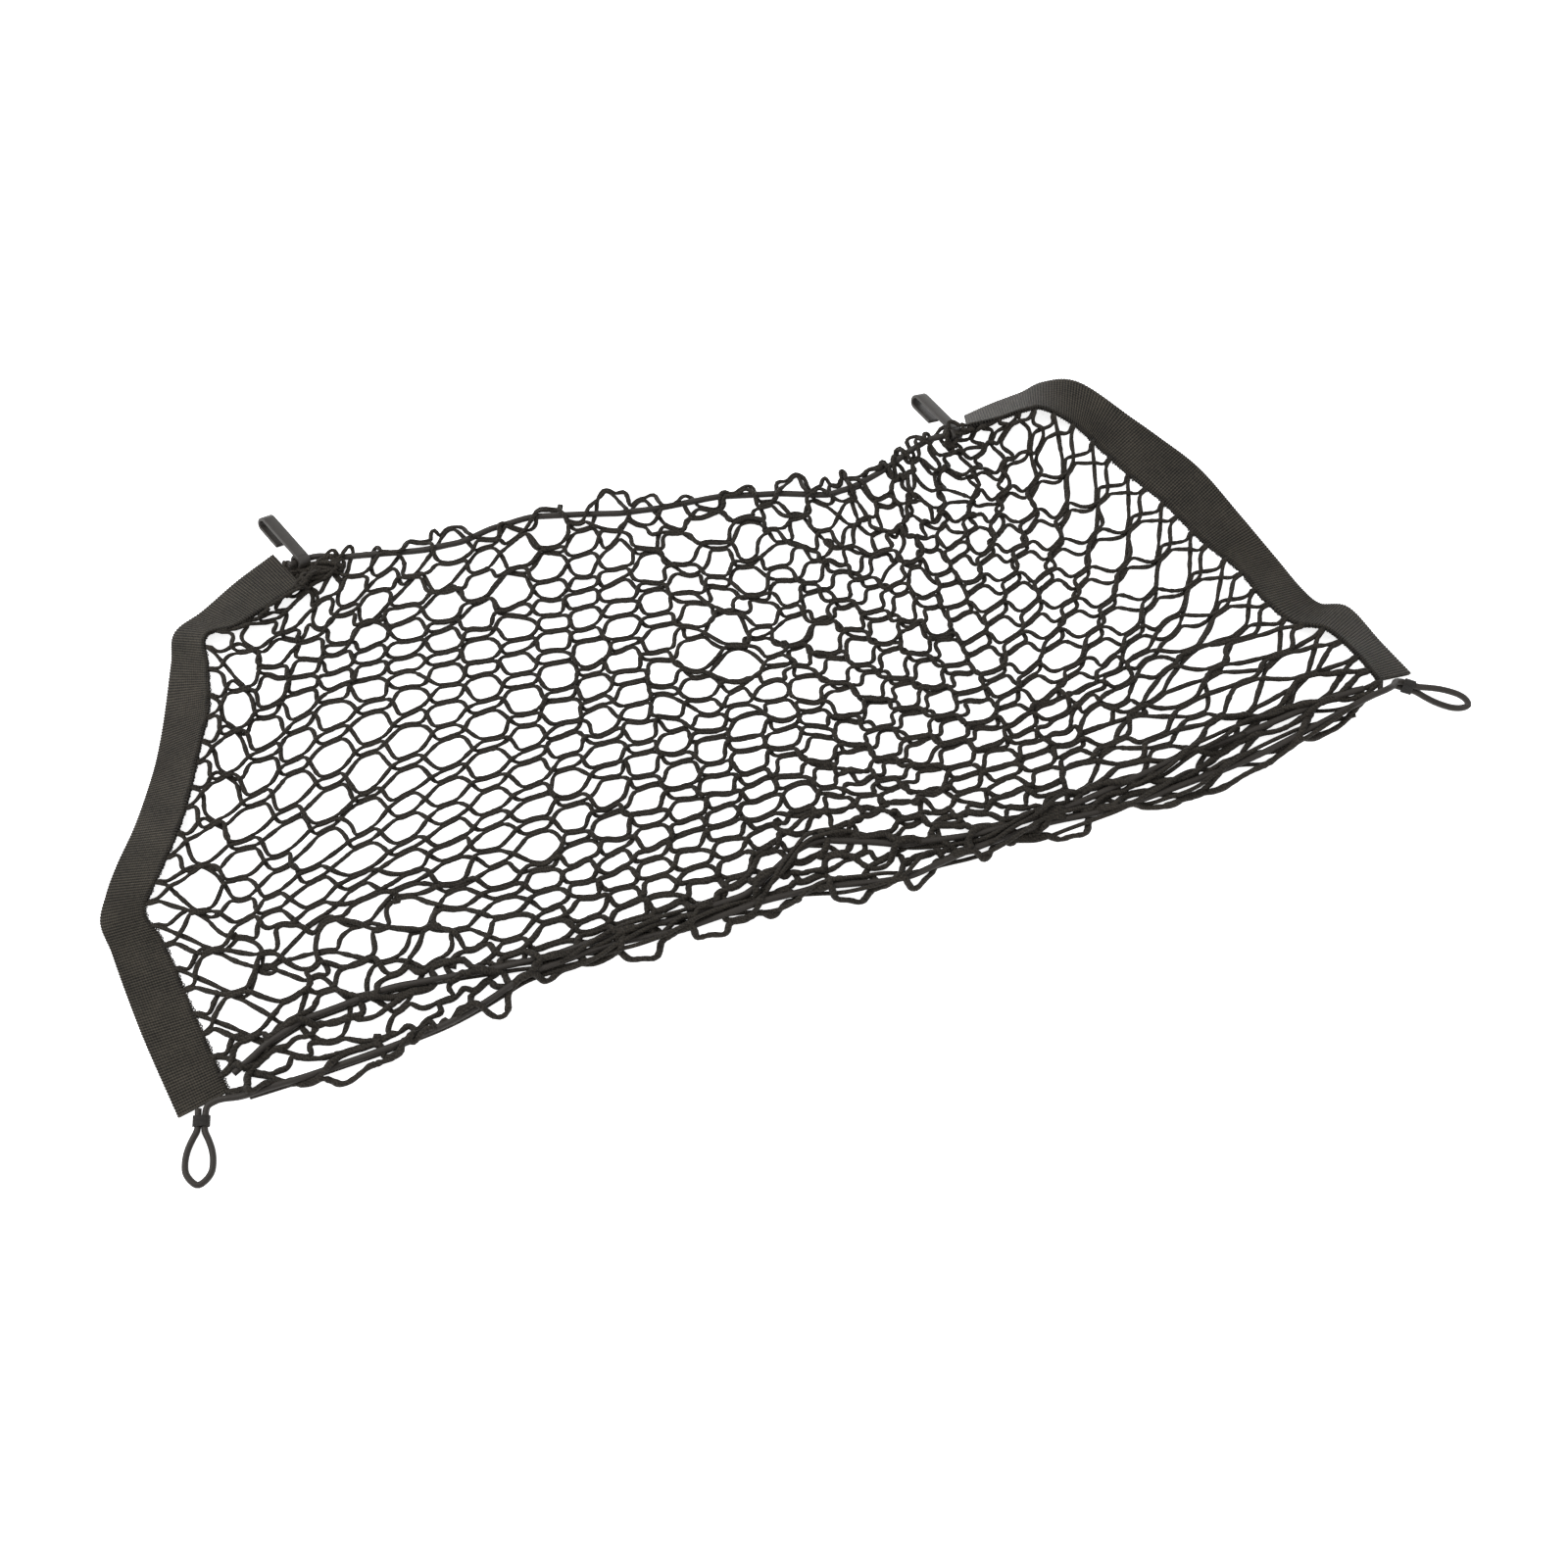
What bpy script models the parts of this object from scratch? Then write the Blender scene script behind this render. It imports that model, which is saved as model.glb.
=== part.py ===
# Cargo net lying on a floor: doubled netting with a folded tape at each end,
# elastic cords along the long sides, two cord loops and two flat hooks.
# Lengths below are in millimetres; the objects are built in metres, +Z up,
# X along the net, the far cord at +Y, the floor at Z = 0.
import math

import bmesh
import bpy
import numpy as np
from mathutils import Vector

# ---------------------------------------------------------------- sizes
SHEET = 1.0            # thickness of one layer of netting
LAYER_OFF = 1.0        # middle of a layer above or below the net's middle
TAPE_PLY = 1.2         # thickness of one ply of the folded tape
TAPE_HALF = 1.7        # half the thickness of the folded tape
CORD_R = 2.5           # radius of the elastic cord
CORD_GAP = 0.4         # air between a cord and the cloth it lies on
FOLD_IN = 3.1          # inside radius of the far fold round its cord
FOLD_OUT = 4.1         # outside radius of the far fold
FLOOR_MID = 1.5        # height of the net's middle where it lies flat
TAPE_GAP = 0.6         # air between the net's edge and the tape's edge
COLUMNS = 30           # meshes along the net
HOOK_WIDTH = 11.0      # width of the hook's strip
HOOK_THICK = 2.5       # thickness of the hook's strip
HOOK_DEPTH = 12.0      # from the long leg's outer face to the short leg's
HOOK_LENGTH = 56.0     # overall
HOOK_MOUTH = 23.0      # short leg's tip, from the eye's axis
EYE_R = 3.1            # radius of the hole in the hook's eye

# Rows of the net, counted in meshes from the far cord.
ROWS = [0.9, 1.8, 2.45, 3.3, 4.2, 5, 6, 7, 8, 8.7, 9.2, 10, 11, 12, 13]

# Folded tapes: a row for each section across the tape.
# row, outer edge x and y (on the floor), inner edge x, y and height
TAPE_LEFT = [
    (0.0, -306, 216, -293, 175, 14),
    (1.0, -342, 202, -324, 166, 14),
    (1.8, -373, 187, -352, 159, 14),
    (2.45, -396, 178, -373, 160, 14),
    (3.3, -407, 152, -380, 132, 15),
    (4.2, -425, 108, -389, 98, 16),
    (5.0, -438, 80, -401, 75, 17),
    (6.1, -454, 53, -418, 42, 17),
    (7.2, -472, 27, -436, 12, 17),
    (8.0, -491, 4, -455, -11, 14),
    (8.7, -504, -15, -470, -27, 10),
    (9.2, -513, -32, -479, -38, 6),
    (10.0, -512, -60, -474, -62, 1.7),
    (12.0, -508, -128, -467, -130, 1.7),
    (14.0, -500, -199, -460, -193, 1.7),
]
TAPE_RIGHT = [
    (0.0, 251, 137, 241, 113, 30),
    (1.05, 279, 140, 269, 110, 30),
    (1.8, 303, 141, 291, 111, 28),
    (2.45, 322, 144, 306, 111, 22),
    (3.3, 350, 134, 328, 96, 8),
    (4.2, 378, 86, 342, 68, 1.7),
    (5.0, 392, 60, 352, 42, 1.7),
    (6.0, 406, 32, 366, 13, 1.7),
    (7.8, 421, -25, 383, -37, 2.0),
    (8.9, 431, -70, 397, -70, 6),
    (10.0, 438, -102, 402, -104, 13),
    (11.0, 446, -119, 414, -131, 14),
    (12.0, 465, -130, 434, -147, 18),
    (13.0, 475, -166, 445, -176, 21),
    (14.0, 485, -199, 451, -202, 21),
]

# Lay of the net: x and y at each lay column, for a row of the net.
LAY_COLUMNS = [2, 4, 8, 12, 15, 18, 22, 26, 28]
LAY = {
    0.0: [(-256, 193), (-215, 183), (-103, 174), (6, 144), (63, 129), (111, 114), (163, 110), (204, 117), (225, 106)],
    2.5: [(-326, 133), (-287, 142), (-185, 116), (-88, 87), (5, 58), (64, 47), (145, 52), (228, 78), (269, 81)],
    5.0: [(-344, 76), (-282, 82), (-164, 62), (-66, 21), (-8, -12), (42, -26), (132, -12), (247, 18), (300, 26)],
    7.5: [(-384, 0), (-326, -7), (-204, -20), (-88, -48), (-21, -85), (37, -95), (144, -73), (259, -50), (320, -40)],
    10.0: [(-416, -60), (-358, -64), (-240, -80), (-124, -103), (-44, -130), (24, -140), (137, -143),
           (259, -124), (330, -112)],
    12.0: [(-418, -116), (-369, -102), (-255, -124), (-139, -146), (-53, -152), (28, -158), (141, -173),
           (269, -164), (354, -152)],
}

# Long-side cords: y, and height where it matters, against x.
FAR_CORD = [(-273, 200), (-256, 193), (-241, 189), (-195, 176), (-162, 172), (-140, 175),
            (-106, 174), (-68, 162), (-40, 152), (-9, 145), (39, 138), (86, 123),
            (121, 108), (144, 107), (172, 111), (197, 117), (213, 118)]
FAR_HEIGHT = [(-273, 5.2), (-256, 4.2), (121, 4.2), (144, 5), (172, 9), (197, 15), (213, 19.5)]
NEAR_UPPER = [(-455, -184), (-424, -170), (-394, -162), (-328, -161), (-294, -167),
              (-256, -174), (-212, -180), (-152, -181), (-109, -187), (-56, -186),
              (-20, -170), (3, -164), (37, -178), (64, -191), (122, -204), (187, -208),
              (234, -205), (294, -200), (340, -201), (390, -201), (420, -202), (449, -206)]
NEAR_LOWER = [(-458, -201), (-413, -203), (-349, -204), (-297, -202), (-266, -197),
              (-229, -187), (-168, -187), (-117, -195), (-48, -196), (-3, -201),
              (53, -217), (114, -213), (166, -213), (227, -222), (308, -222),
              (345, -221), (390, -217), (414, -215), (455, -211)]
NEAR_COLUMNS_X = [(0, -459), (4, -342), (8, -232), (12, -120), (15, -38), (18, 44),
                  (22, 153), (26, 285), (29, 404), (30, 451)]
FAR_COLUMNS_X = [(1, -273), (4, -215), (8, -103), (12, 6), (15, 63), (18, 111),
                 (22, 163), (26, 204), (27, 213), (30, 240)]

# Standing folds: name, first and last column, first and last row,
# height, half width in columns.
FOLDS = [
    ("tangle", 15.2, 16.4, 2.5, 12.0, 15.0, 1.4),
    ("pleat", 22.6, 20.2, 1.0, 5.8, 12.0, 1.1),
    ("left swell", 8.2, 6.6, 3.0, 10.0, 6.0, 1.6),
    ("right swell", 25.5, 24.5, 4.0, 11.5, 8.0, 1.5),
    ("middle swell", 12.4, 11.6, 1.0, 9.0, 5.0, 1.2),
]
# Meshes hanging past the near cords and past the far cord, along the columns.
NEAR_HANG = [8, 16, 9, 18, 10, 14, 8, 17, 9, 15, 10, 16]
FAR_HANG = [4, 10, 3, 14, 4, 9, 3, 12, 5, 15]
# The widest meshes left open through both layers: column and row index.
OPEN_CELLS = [(3, 5), (6, 5), (9, 5), (12, 5), (19, 5), (22, 5),
              (3, 11), (6, 11), (9, 11), (12, 11), (20, 11), (23, 11)]

# Cord loops: place of the neck, tip, width between legs, roll, neck length.
LOOP_LEFT = dict(neck=(-484.6, -208.0, 3.9), tip=(-500.0, -252.0, 2.6), width=20.0, roll=180.0)
LOOP_RIGHT = dict(neck=(474.0, -211.0, 11.0), tip=(511.0, -241.0, 9.0), width=15.0, roll=68.0)
# Half a loop: share of its length, share of its widening beyond the paired legs.
LOOP_SHAPE = [(0.0, 0.0), (0.14, 0.0), (0.3, 0.45), (0.48, 0.86), (0.66, 1.0), (0.8, 0.9), (0.93, 0.35)]
BINDING_LENGTH = 9.0
BINDING_WALL = 0.9

# Hooks: middle of the eye, heading in plan, pitch and roll in degrees.
HOOK_LEFT = dict(eye=(-287.0, 199.0, 8.3), heading=(-0.335, 0.942), pitch=0.0, roll=28.0)
HOOK_RIGHT = dict(eye=(232.0, 117.0, 17.5), heading=(-0.246, 0.969), pitch=-11.0, roll=26.0)


# ---------------------------------------------------------------- lay of the cloth
def along(table, at):
    """Columns of a table read at a place in its first column, straight between rows."""
    rows = np.array(table, dtype=float)
    return np.array([np.interp(at, rows[:, 0], rows[:, k]) for k in range(1, rows.shape[1])])


def tape_edges(table, row):
    """Middle-surface points of a folded tape's outer and inner edges at a row."""
    ox, oy, ix, iy, iz = along(table, row)
    return np.array([ox, oy, TAPE_HALF]), np.array([ix, iy, iz])


def beside_tape(table, row):
    """Edge of the net's middle surface, a little air away from the tape."""
    outer, inner = tape_edges(table, row)
    across = inner - outer
    return inner + across / np.linalg.norm(across) * (TAPE_GAP, TAPE_GAP, 0)


def edge_rise(column, row):
    """Height the raised tape edges give the net near them."""
    left = tape_edges(TAPE_LEFT, row)[1][2] - FLOOR_MID
    right = tape_edges(TAPE_RIGHT, row)[1][2] - FLOOR_MID
    fall_left = max(0.0, 1.0 - column / 3.2) ** 1.7
    fall_right = max(0.0, 1.0 - (COLUMNS - column) / 3.6) ** 1.7
    return left * fall_left + right * fall_right


def fold_rise(column, row):
    """Height of the standing folds at a column and row."""
    rise = 0.0
    for name, c0, c1, r0, r1, height, half in FOLDS:
        u = (row - r0) / (r1 - r0)
        if u <= 0.0 or u >= 1.0:
            continue
        away = abs(column - (c0 + (c1 - c0) * u)) / half
        if away < 1.5:
            rise = max(rise, height * math.sin(math.pi * u) ** 0.6 * max(0.0, 1.0 - away / 1.5))
    return rise


def far_point(column):
    """Middle of the far cord at a column from 1 to 27."""
    x = along(FAR_COLUMNS_X, column)[0]
    return np.array([x, along(FAR_CORD, x)[0], along(FAR_HEIGHT, x)[0]])


def plan_point(column, row):
    """Plan place of the net's middle surface, from the lay table and the tapes."""
    rows = sorted(LAY)
    lay_line = [np.array([[np.interp(row, rows, [LAY[r][k][axis] for r in rows])
                           for axis in range(2)]])[0] for k in range(len(LAY_COLUMNS))]
    if row > 12.0:
        share = (row - 12.0) / 2.0
        lay_line = [(1 - share) * p + share * near_line(NEAR_UPPER, c)[:2]
                    for p, c in zip(lay_line, LAY_COLUMNS)]
    left = beside_tape(TAPE_LEFT, row)[:2]
    right = beside_tape(TAPE_RIGHT, row)[:2]
    columns = [0] + LAY_COLUMNS + [COLUMNS]
    points = [left] + lay_line + [right]
    return np.array([np.interp(column, columns, [p[axis] for p in points]) for axis in range(2)])


def middle_point(column, row):
    """Middle surface of the doubled net at a column and a row."""
    x, y = plan_point(column, row)
    z = FLOOR_MID + max(edge_rise(column, row), fold_rise(column, row))
    if row < 2.0:
        c = min(max(column, 1.0), 27.0)
        lift = max(0.0, far_point(c)[2] - FOLD_OUT - 0.1)
        z = max(z, FLOOR_MID + lift * (1.0 - row / 2.0))
    return np.array([x, y, z])


def near_line(table, column):
    """Middle surface below a near cord at a column."""
    x = along(NEAR_COLUMNS_X, column)[0]
    y = along(table, x)[0]
    return np.array([x, y, FLOOR_MID + edge_rise(column, 14.0)])


def hang_point(table, column):
    """End of the meshes that hang past a near cord at a column."""
    ahead = near_line(table, min(column + 0.5, COLUMNS))
    behind = near_line(table, max(column - 0.5, 0))
    run = ahead - behind
    out = np.array([run[1], -run[0], 0.0])
    out /= np.linalg.norm(out)
    length = NEAR_HANG[int(column) % len(NEAR_HANG)]
    return near_line(table, column) + out * length


def grid_normals(points):
    """Unit normals of a grid of points, by differences along both ways."""
    du = np.gradient(points, axis=0)
    dv = np.gradient(points, axis=1)
    n = np.cross(du, dv)
    n /= np.linalg.norm(n, axis=2, keepdims=True)
    n[n[:, :, 2] < 0] *= -1
    return n


# ---------------------------------------------------------------- building solids
def material(name, colour, rough):
    mat = bpy.data.materials.new(name)
    mat.use_nodes = True
    bsdf = mat.node_tree.nodes["Principled BSDF"]
    bsdf.inputs["Base Color"].default_value = (*colour, 1.0)
    bsdf.inputs["Roughness"].default_value = rough
    return mat


def put(name, mesh, mat, home):
    """Link a mesh as a named object with its own material."""
    mesh.materials.clear()
    mesh.materials.append(mat)
    obj = bpy.data.objects.new(name, mesh)
    home.objects.link(obj)
    return obj


def slab(name, outside, inside, keep, turned, mat, home):
    """Closed sheet between two grids of points, in triangles.

    keep marks the grid cells that are cloth; turned marks the cells whose
    diagonal runs the other way, so facing layers stay parallel.
    """
    rows, cols = outside.shape[:2]
    verts = np.concatenate([outside.reshape(-1, 3), inside.reshape(-1, 3)]) * 0.001
    side = rows * cols
    faces = []
    rim = {}
    for i in range(rows - 1):
        for j in range(cols - 1):
            if not keep[i, j]:
                continue
            a, b = i * cols + j, (i + 1) * cols + j
            c, d = (i + 1) * cols + j + 1, i * cols + j + 1
            halves = [(a, b, d), (b, c, d)] if turned[i, j] else [(a, b, c), (a, c, d)]
            for tri in halves:
                faces.append(tri)
                faces.append(tuple(side + v for v in reversed(tri)))
            for p, q in ((a, b), (b, c), (c, d), (d, a)):
                if (q, p) in rim:
                    del rim[(q, p)]
                else:
                    rim[(p, q)] = True
    for p, q in rim:
        faces.append((q, p, side + p))
        faces.append((q, side + p, side + q))
    mesh = bpy.data.meshes.new(name)
    mesh.from_pydata(verts.tolist(), [], faces)
    bm = bmesh.new()
    bm.from_mesh(mesh)
    loose = [v for v in bm.verts if not v.link_faces]
    bmesh.ops.delete(bm, geom=loose, context="VERTS")
    bmesh.ops.recalc_face_normals(bm, faces=bm.faces)
    if bm.calc_volume(signed=True) < 0:
        bmesh.ops.reverse_faces(bm, faces=bm.faces)
    bm.to_mesh(mesh)
    bm.free()
    return put(name, mesh, mat, home)


def curve_mesh(name, curve):
    """Mesh of a curve with its caps welded."""
    holder = bpy.data.objects.new(name + "_curve", curve)
    bpy.context.scene.collection.objects.link(holder)
    bpy.context.view_layer.update()
    deps = bpy.context.evaluated_depsgraph_get()
    mesh = bpy.data.meshes.new_from_object(holder.evaluated_get(deps))
    bpy.data.objects.remove(holder)
    bm = bmesh.new()
    bm.from_mesh(mesh)
    bmesh.ops.remove_doubles(bm, verts=bm.verts, dist=0.00001)
    bmesh.ops.recalc_face_normals(bm, faces=bm.faces)
    bm.to_mesh(mesh)
    bm.free()
    return mesh


def flat_stock(name, loops, thick):
    """Flat outline with its holes, given a thickness about its plane."""
    curve = bpy.data.curves.new(name, "CURVE")
    curve.dimensions = "2D"
    curve.fill_mode = "BOTH"
    curve.extrude = thick / 2 * 0.001
    for loop in loops:
        spline = curve.splines.new("POLY")
        spline.points.add(len(loop) - 1)
        spline.use_cyclic_u = True
        for point, (u, v) in zip(spline.points, loop):
            point.co = (u * 0.001, v * 0.001, 0, 1)
    return curve_mesh(name, curve)


def lay_mesh(mesh, x_way, y_way, z_way, place):
    """Turn a mesh onto three directions and move it to its place."""
    for v in mesh.vertices:
        v.co = x_way * v.co.x + y_way * v.co.y + z_way * v.co.z + np.array(place) * 0.001


def cord(name, route, mat, home):
    """Round cord along a route of points."""
    curve = bpy.data.curves.new(name, "CURVE")
    curve.dimensions = "3D"
    curve.bevel_depth = CORD_R * 0.001
    curve.bevel_resolution = 2
    curve.use_fill_caps = True
    spline = curve.splines.new("POLY")
    spline.points.add(len(route) - 1)
    for point, place in zip(spline.points, route):
        point.co = (*(np.array(place) * 0.001), 1.0)
    return put(name, curve_mesh(name, curve), mat, home)


# ---------------------------------------------------------------- the pieces
def build_net(mat, home):
    """One cloth, folded round the far cord into an upper and a lower layer."""
    columns = np.arange(COLUMNS + 1)
    body = np.array([[middle_point(c, r) for r in ROWS] for c in columns])
    upper_near = np.array([near_line(NEAR_UPPER, c) for c in columns])
    lower_near = np.array([near_line(NEAR_LOWER, c) for c in columns])
    upper_hang = np.array([hang_point(NEAR_UPPER, c) for c in columns])
    lower_hang = np.array([hang_point(NEAR_LOWER, c) for c in columns])
    for near in (upper_near, lower_near):
        near[0] = beside_tape(TAPE_LEFT, 14.0) + (0, 0, FLOOR_MID - TAPE_HALF)
        near[-1] = beside_tape(TAPE_RIGHT, 14.0)
    upper = np.concatenate([body, upper_near[:, None], upper_hang[:, None]], axis=1)
    lower = np.concatenate([body, lower_near[:, None], lower_hang[:, None]], axis=1)
    upper_n = shared_normals(upper)
    lower_n = shared_normals(lower)
    half = SHEET / 2
    top_out = upper + upper_n * (LAYER_OFF + half)
    top_in = upper + upper_n * (LAYER_OFF - half)
    low_out = lower - lower_n * (LAYER_OFF + half)
    low_in = lower - lower_n * (LAYER_OFF - half)
    wrap_out, wrap_in = far_wrap(columns)
    outside = np.concatenate([top_out[:, ::-1], wrap_out, low_out], axis=1)
    inside = np.concatenate([top_in[:, ::-1], wrap_in, low_in], axis=1)
    rows = upper.shape[1]
    cells = outside.shape[1] - 1
    keep = np.ones((COLUMNS, cells), dtype=bool)
    keep[0, rows - 1:rows + 5] = False
    keep[26:, rows - 1:rows + 5] = False
    keep[[0, 1, 28, 29], 0] = False
    keep[[0, 1, 28, 29], -1] = False
    for c, r in OPEN_CELLS:
        keep[c, rows - 2 - r] = False
        keep[c, rows + 5 + r] = False
    turned = np.zeros_like(keep)
    turned[:, rows + 2:] = True
    return slab("net", outside, inside, keep, turned, mat, home)


def shared_normals(points):
    """Normals of the net's grid with both tapes beside it, so edges meet square."""
    rows = ROWS + [14.0]
    left = [tape_edges(TAPE_LEFT, r)[0] for r in rows]
    right = [tape_edges(TAPE_RIGHT, r)[0] for r in rows]
    left.append(left[-1] + points[0, -1] - points[0, -2])
    right.append(right[-1] + points[-1, -1] - points[-1, -2])
    whole = np.concatenate([[left], points, [right]], axis=0)
    return grid_normals(whole)[1:-1]


def far_wrap(columns):
    """Five points of the fold round the far cord at each column."""
    centres = np.array([far_point(min(max(c, 1), 27)) for c in columns])
    for c in (0, 28, 29, 30):
        centres[c] = centres[1 if c == 0 else 27] + np.array([c - (1 if c == 0 else 27), 0, 0]) * 8.0
    run = np.gradient(centres, axis=0)
    run /= np.linalg.norm(run, axis=1, keepdims=True)
    away = centres - np.array([middle_point(c, ROWS[0]) for c in columns])
    away -= run * np.sum(away * run, axis=1, keepdims=True)
    away /= np.linalg.norm(away, axis=1, keepdims=True)
    up = np.cross(run, away)
    out, inn = [], []
    for k, c in enumerate(columns):
        hang = FAR_HANG[int(c) % len(FAR_HANG)]
        line_out, line_in = [], []
        for step in range(5):
            angle = math.radians(45.0 * step)
            ray = up[k] * math.cos(angle) + away[k] * math.sin(angle)
            past = away[k] * (hang if step in (1, 2, 3) else 0.0)
            line_out.append(centres[k] + ray * FOLD_OUT + past)
            line_in.append(centres[k] + ray * FOLD_IN + past)
        out.append(line_out)
        inn.append(line_in)
    return np.array(out), np.array(inn)


def build_tape(name, table, net_side, mat, home):
    """Tape folded lengthwise: two plies joined by a round fold at the outer edge."""
    rows = [0.0] + ROWS + [14.0]
    outer = np.array([tape_edges(table, r)[0] for r in rows])
    inner = np.array([tape_edges(table, r)[1] for r in rows])
    inner[:, 2] = np.maximum(inner[:, 2], TAPE_HALF)
    beyond = np.array([middle_point(net_side, r) for r in rows])
    beyond[0] = beyond[1] + inner[0] - inner[1]
    beyond[-1] = near_line(NEAR_UPPER, net_side)
    order = [outer, inner, beyond] if net_side < 15 else [beyond, inner, outer]
    normals = grid_normals(np.array(order))
    edge_n, inner_n = (normals[0], normals[1]) if net_side < 15 else (normals[2], normals[1])
    flat = np.abs(inner[:, 2] - TAPE_HALF) < 0.05
    inner_n[flat] = (0.0, 0.0, 1.0)
    edge_n[flat] = (0.0, 0.0, 1.0)
    across = outer - inner
    across /= np.linalg.norm(across, axis=1, keepdims=True)
    turn = outer - across * TAPE_HALF
    gap = TAPE_HALF - TAPE_PLY
    out = [inner + inner_n * TAPE_HALF]
    inn = [inner + inner_n * gap]
    for step in range(5):
        angle = math.radians(45.0 * step)
        out.append(turn + (edge_n * math.cos(angle) + across * math.sin(angle)) * TAPE_HALF)
        inn.append(turn + (edge_n * math.cos(angle) + across * math.sin(angle)) * gap)
    out.append(inner - inner_n * TAPE_HALF)
    inn.append(inner - inner_n * gap)
    outside = np.array(out).transpose(1, 0, 2)
    inside = np.array(inn).transpose(1, 0, 2)
    keep = np.ones((len(rows) - 1, 6), dtype=bool)
    turned = np.zeros_like(keep)
    turned[:, 3:] = True
    return slab(name, outside, inside, keep, turned, mat, home)


def hook_axes(hook):
    """Long, depth and width directions of a hook."""
    pitch, roll = math.radians(hook["pitch"]), math.radians(hook["roll"])
    hx, hy = hook["heading"]
    run = np.array([hx * math.cos(pitch), hy * math.cos(pitch), math.sin(pitch)])
    run /= np.linalg.norm(run)
    down = np.array([0, 0, -1.0])
    down -= run * down.dot(run)
    down /= np.linalg.norm(down)
    left = np.cross(down, run)
    if left[0] > 0:
        left = -left
    depth = down * math.cos(roll) + left * math.sin(roll)
    width = np.cross(depth, run)
    if width[0] < 0:
        width = -width
    return run, depth, width


def build_hook(name, hook, mat, home):
    """Hook bent from a flat strip: closed eye, long leg, round bend, short leg."""
    ring = HOOK_DEPTH / 2
    under = ring - HOOK_THICK
    bend = HOOK_LENGTH - 2 * ring
    outline = [(ring * math.cos(math.radians(a)), ring * math.sin(math.radians(a)))
               for a in np.linspace(90, 360, 22)]
    outline += [(ring, under - 1.6), (ring + 0.5, under - 0.5), (ring + 1.6, under)]
    outline += [(bend + under * math.cos(math.radians(a)), under * math.sin(math.radians(a)))
                for a in np.linspace(90, -90, 9)]
    outline += [(HOOK_MOUTH, -under - 0.8), (HOOK_MOUTH - 0.6, -ring + 1.2), (HOOK_MOUTH + 0.4, -ring)]
    outline += [(bend + ring * math.cos(math.radians(a)), ring * math.sin(math.radians(a)))
                for a in np.linspace(-90, 90, 13)]
    hole = [(EYE_R * math.cos(a), EYE_R * math.sin(a)) for a in np.linspace(0, 2 * math.pi, 25)[:-1]]
    mesh = flat_stock(name, (outline, hole), HOOK_WIDTH)
    run, depth, width = hook_axes(hook)
    lay_mesh(mesh, run, -depth, np.cross(run, -depth), hook["eye"])
    return put(name, mesh, mat, home)


def teardrop(loop):
    """Cord loop from its neck round the tip and back; also its long and side ways."""
    neck, tip = np.array(loop["neck"]), np.array(loop["tip"])
    run = tip - neck
    length = np.linalg.norm(run)
    run /= length
    flat = np.cross([0, 0, 1.0], run)
    flat /= np.linalg.norm(flat)
    roll = math.radians(loop["roll"])
    side = flat * math.cos(roll) + np.cross(run, flat) * math.sin(roll)
    pair = CORD_R + 0.15
    wide = loop["width"] / 2 - pair
    there = [neck + run * length * reach + side * (pair + wide * spread) for reach, spread in LOOP_SHAPE]
    back = [neck + run * length * reach - side * (pair + wide * spread) for reach, spread in LOOP_SHAPE]
    return there + [tip] + back[::-1], run, side


def build_binding(name, loop, mat, home):
    """Oval sleeve round both legs of a cord loop at its neck."""
    run, side = teardrop(loop)[1:]
    third = np.cross(run, side)
    pair = CORD_R + 0.15
    hole = CORD_R + 0.35
    loops = []
    for r in (hole + BINDING_WALL, hole):
        right = [(pair + r * math.cos(a), r * math.sin(a)) for a in np.linspace(-math.pi / 2, math.pi / 2, 9)]
        loops.append(right + [(-u, -v) for u, v in right])
    mesh = flat_stock(name, loops, BINDING_LENGTH)
    lay_mesh(mesh, side, third, run, loop["neck"])
    return put(name, mesh, mat, home)


def stand_on_origin(home):
    """Move the whole net so its box is centred on X and Y and stands on Z = 0."""
    corners = np.array([v.co[:] for obj in home.objects for v in obj.data.vertices])
    low, high = corners.min(axis=0), corners.max(axis=0)
    move = Vector((-(low[0] + high[0]) / 2, -(low[1] + high[1]) / 2, -low[2]))
    for obj in home.objects:
        for v in obj.data.vertices:
            v.co += move


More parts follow.
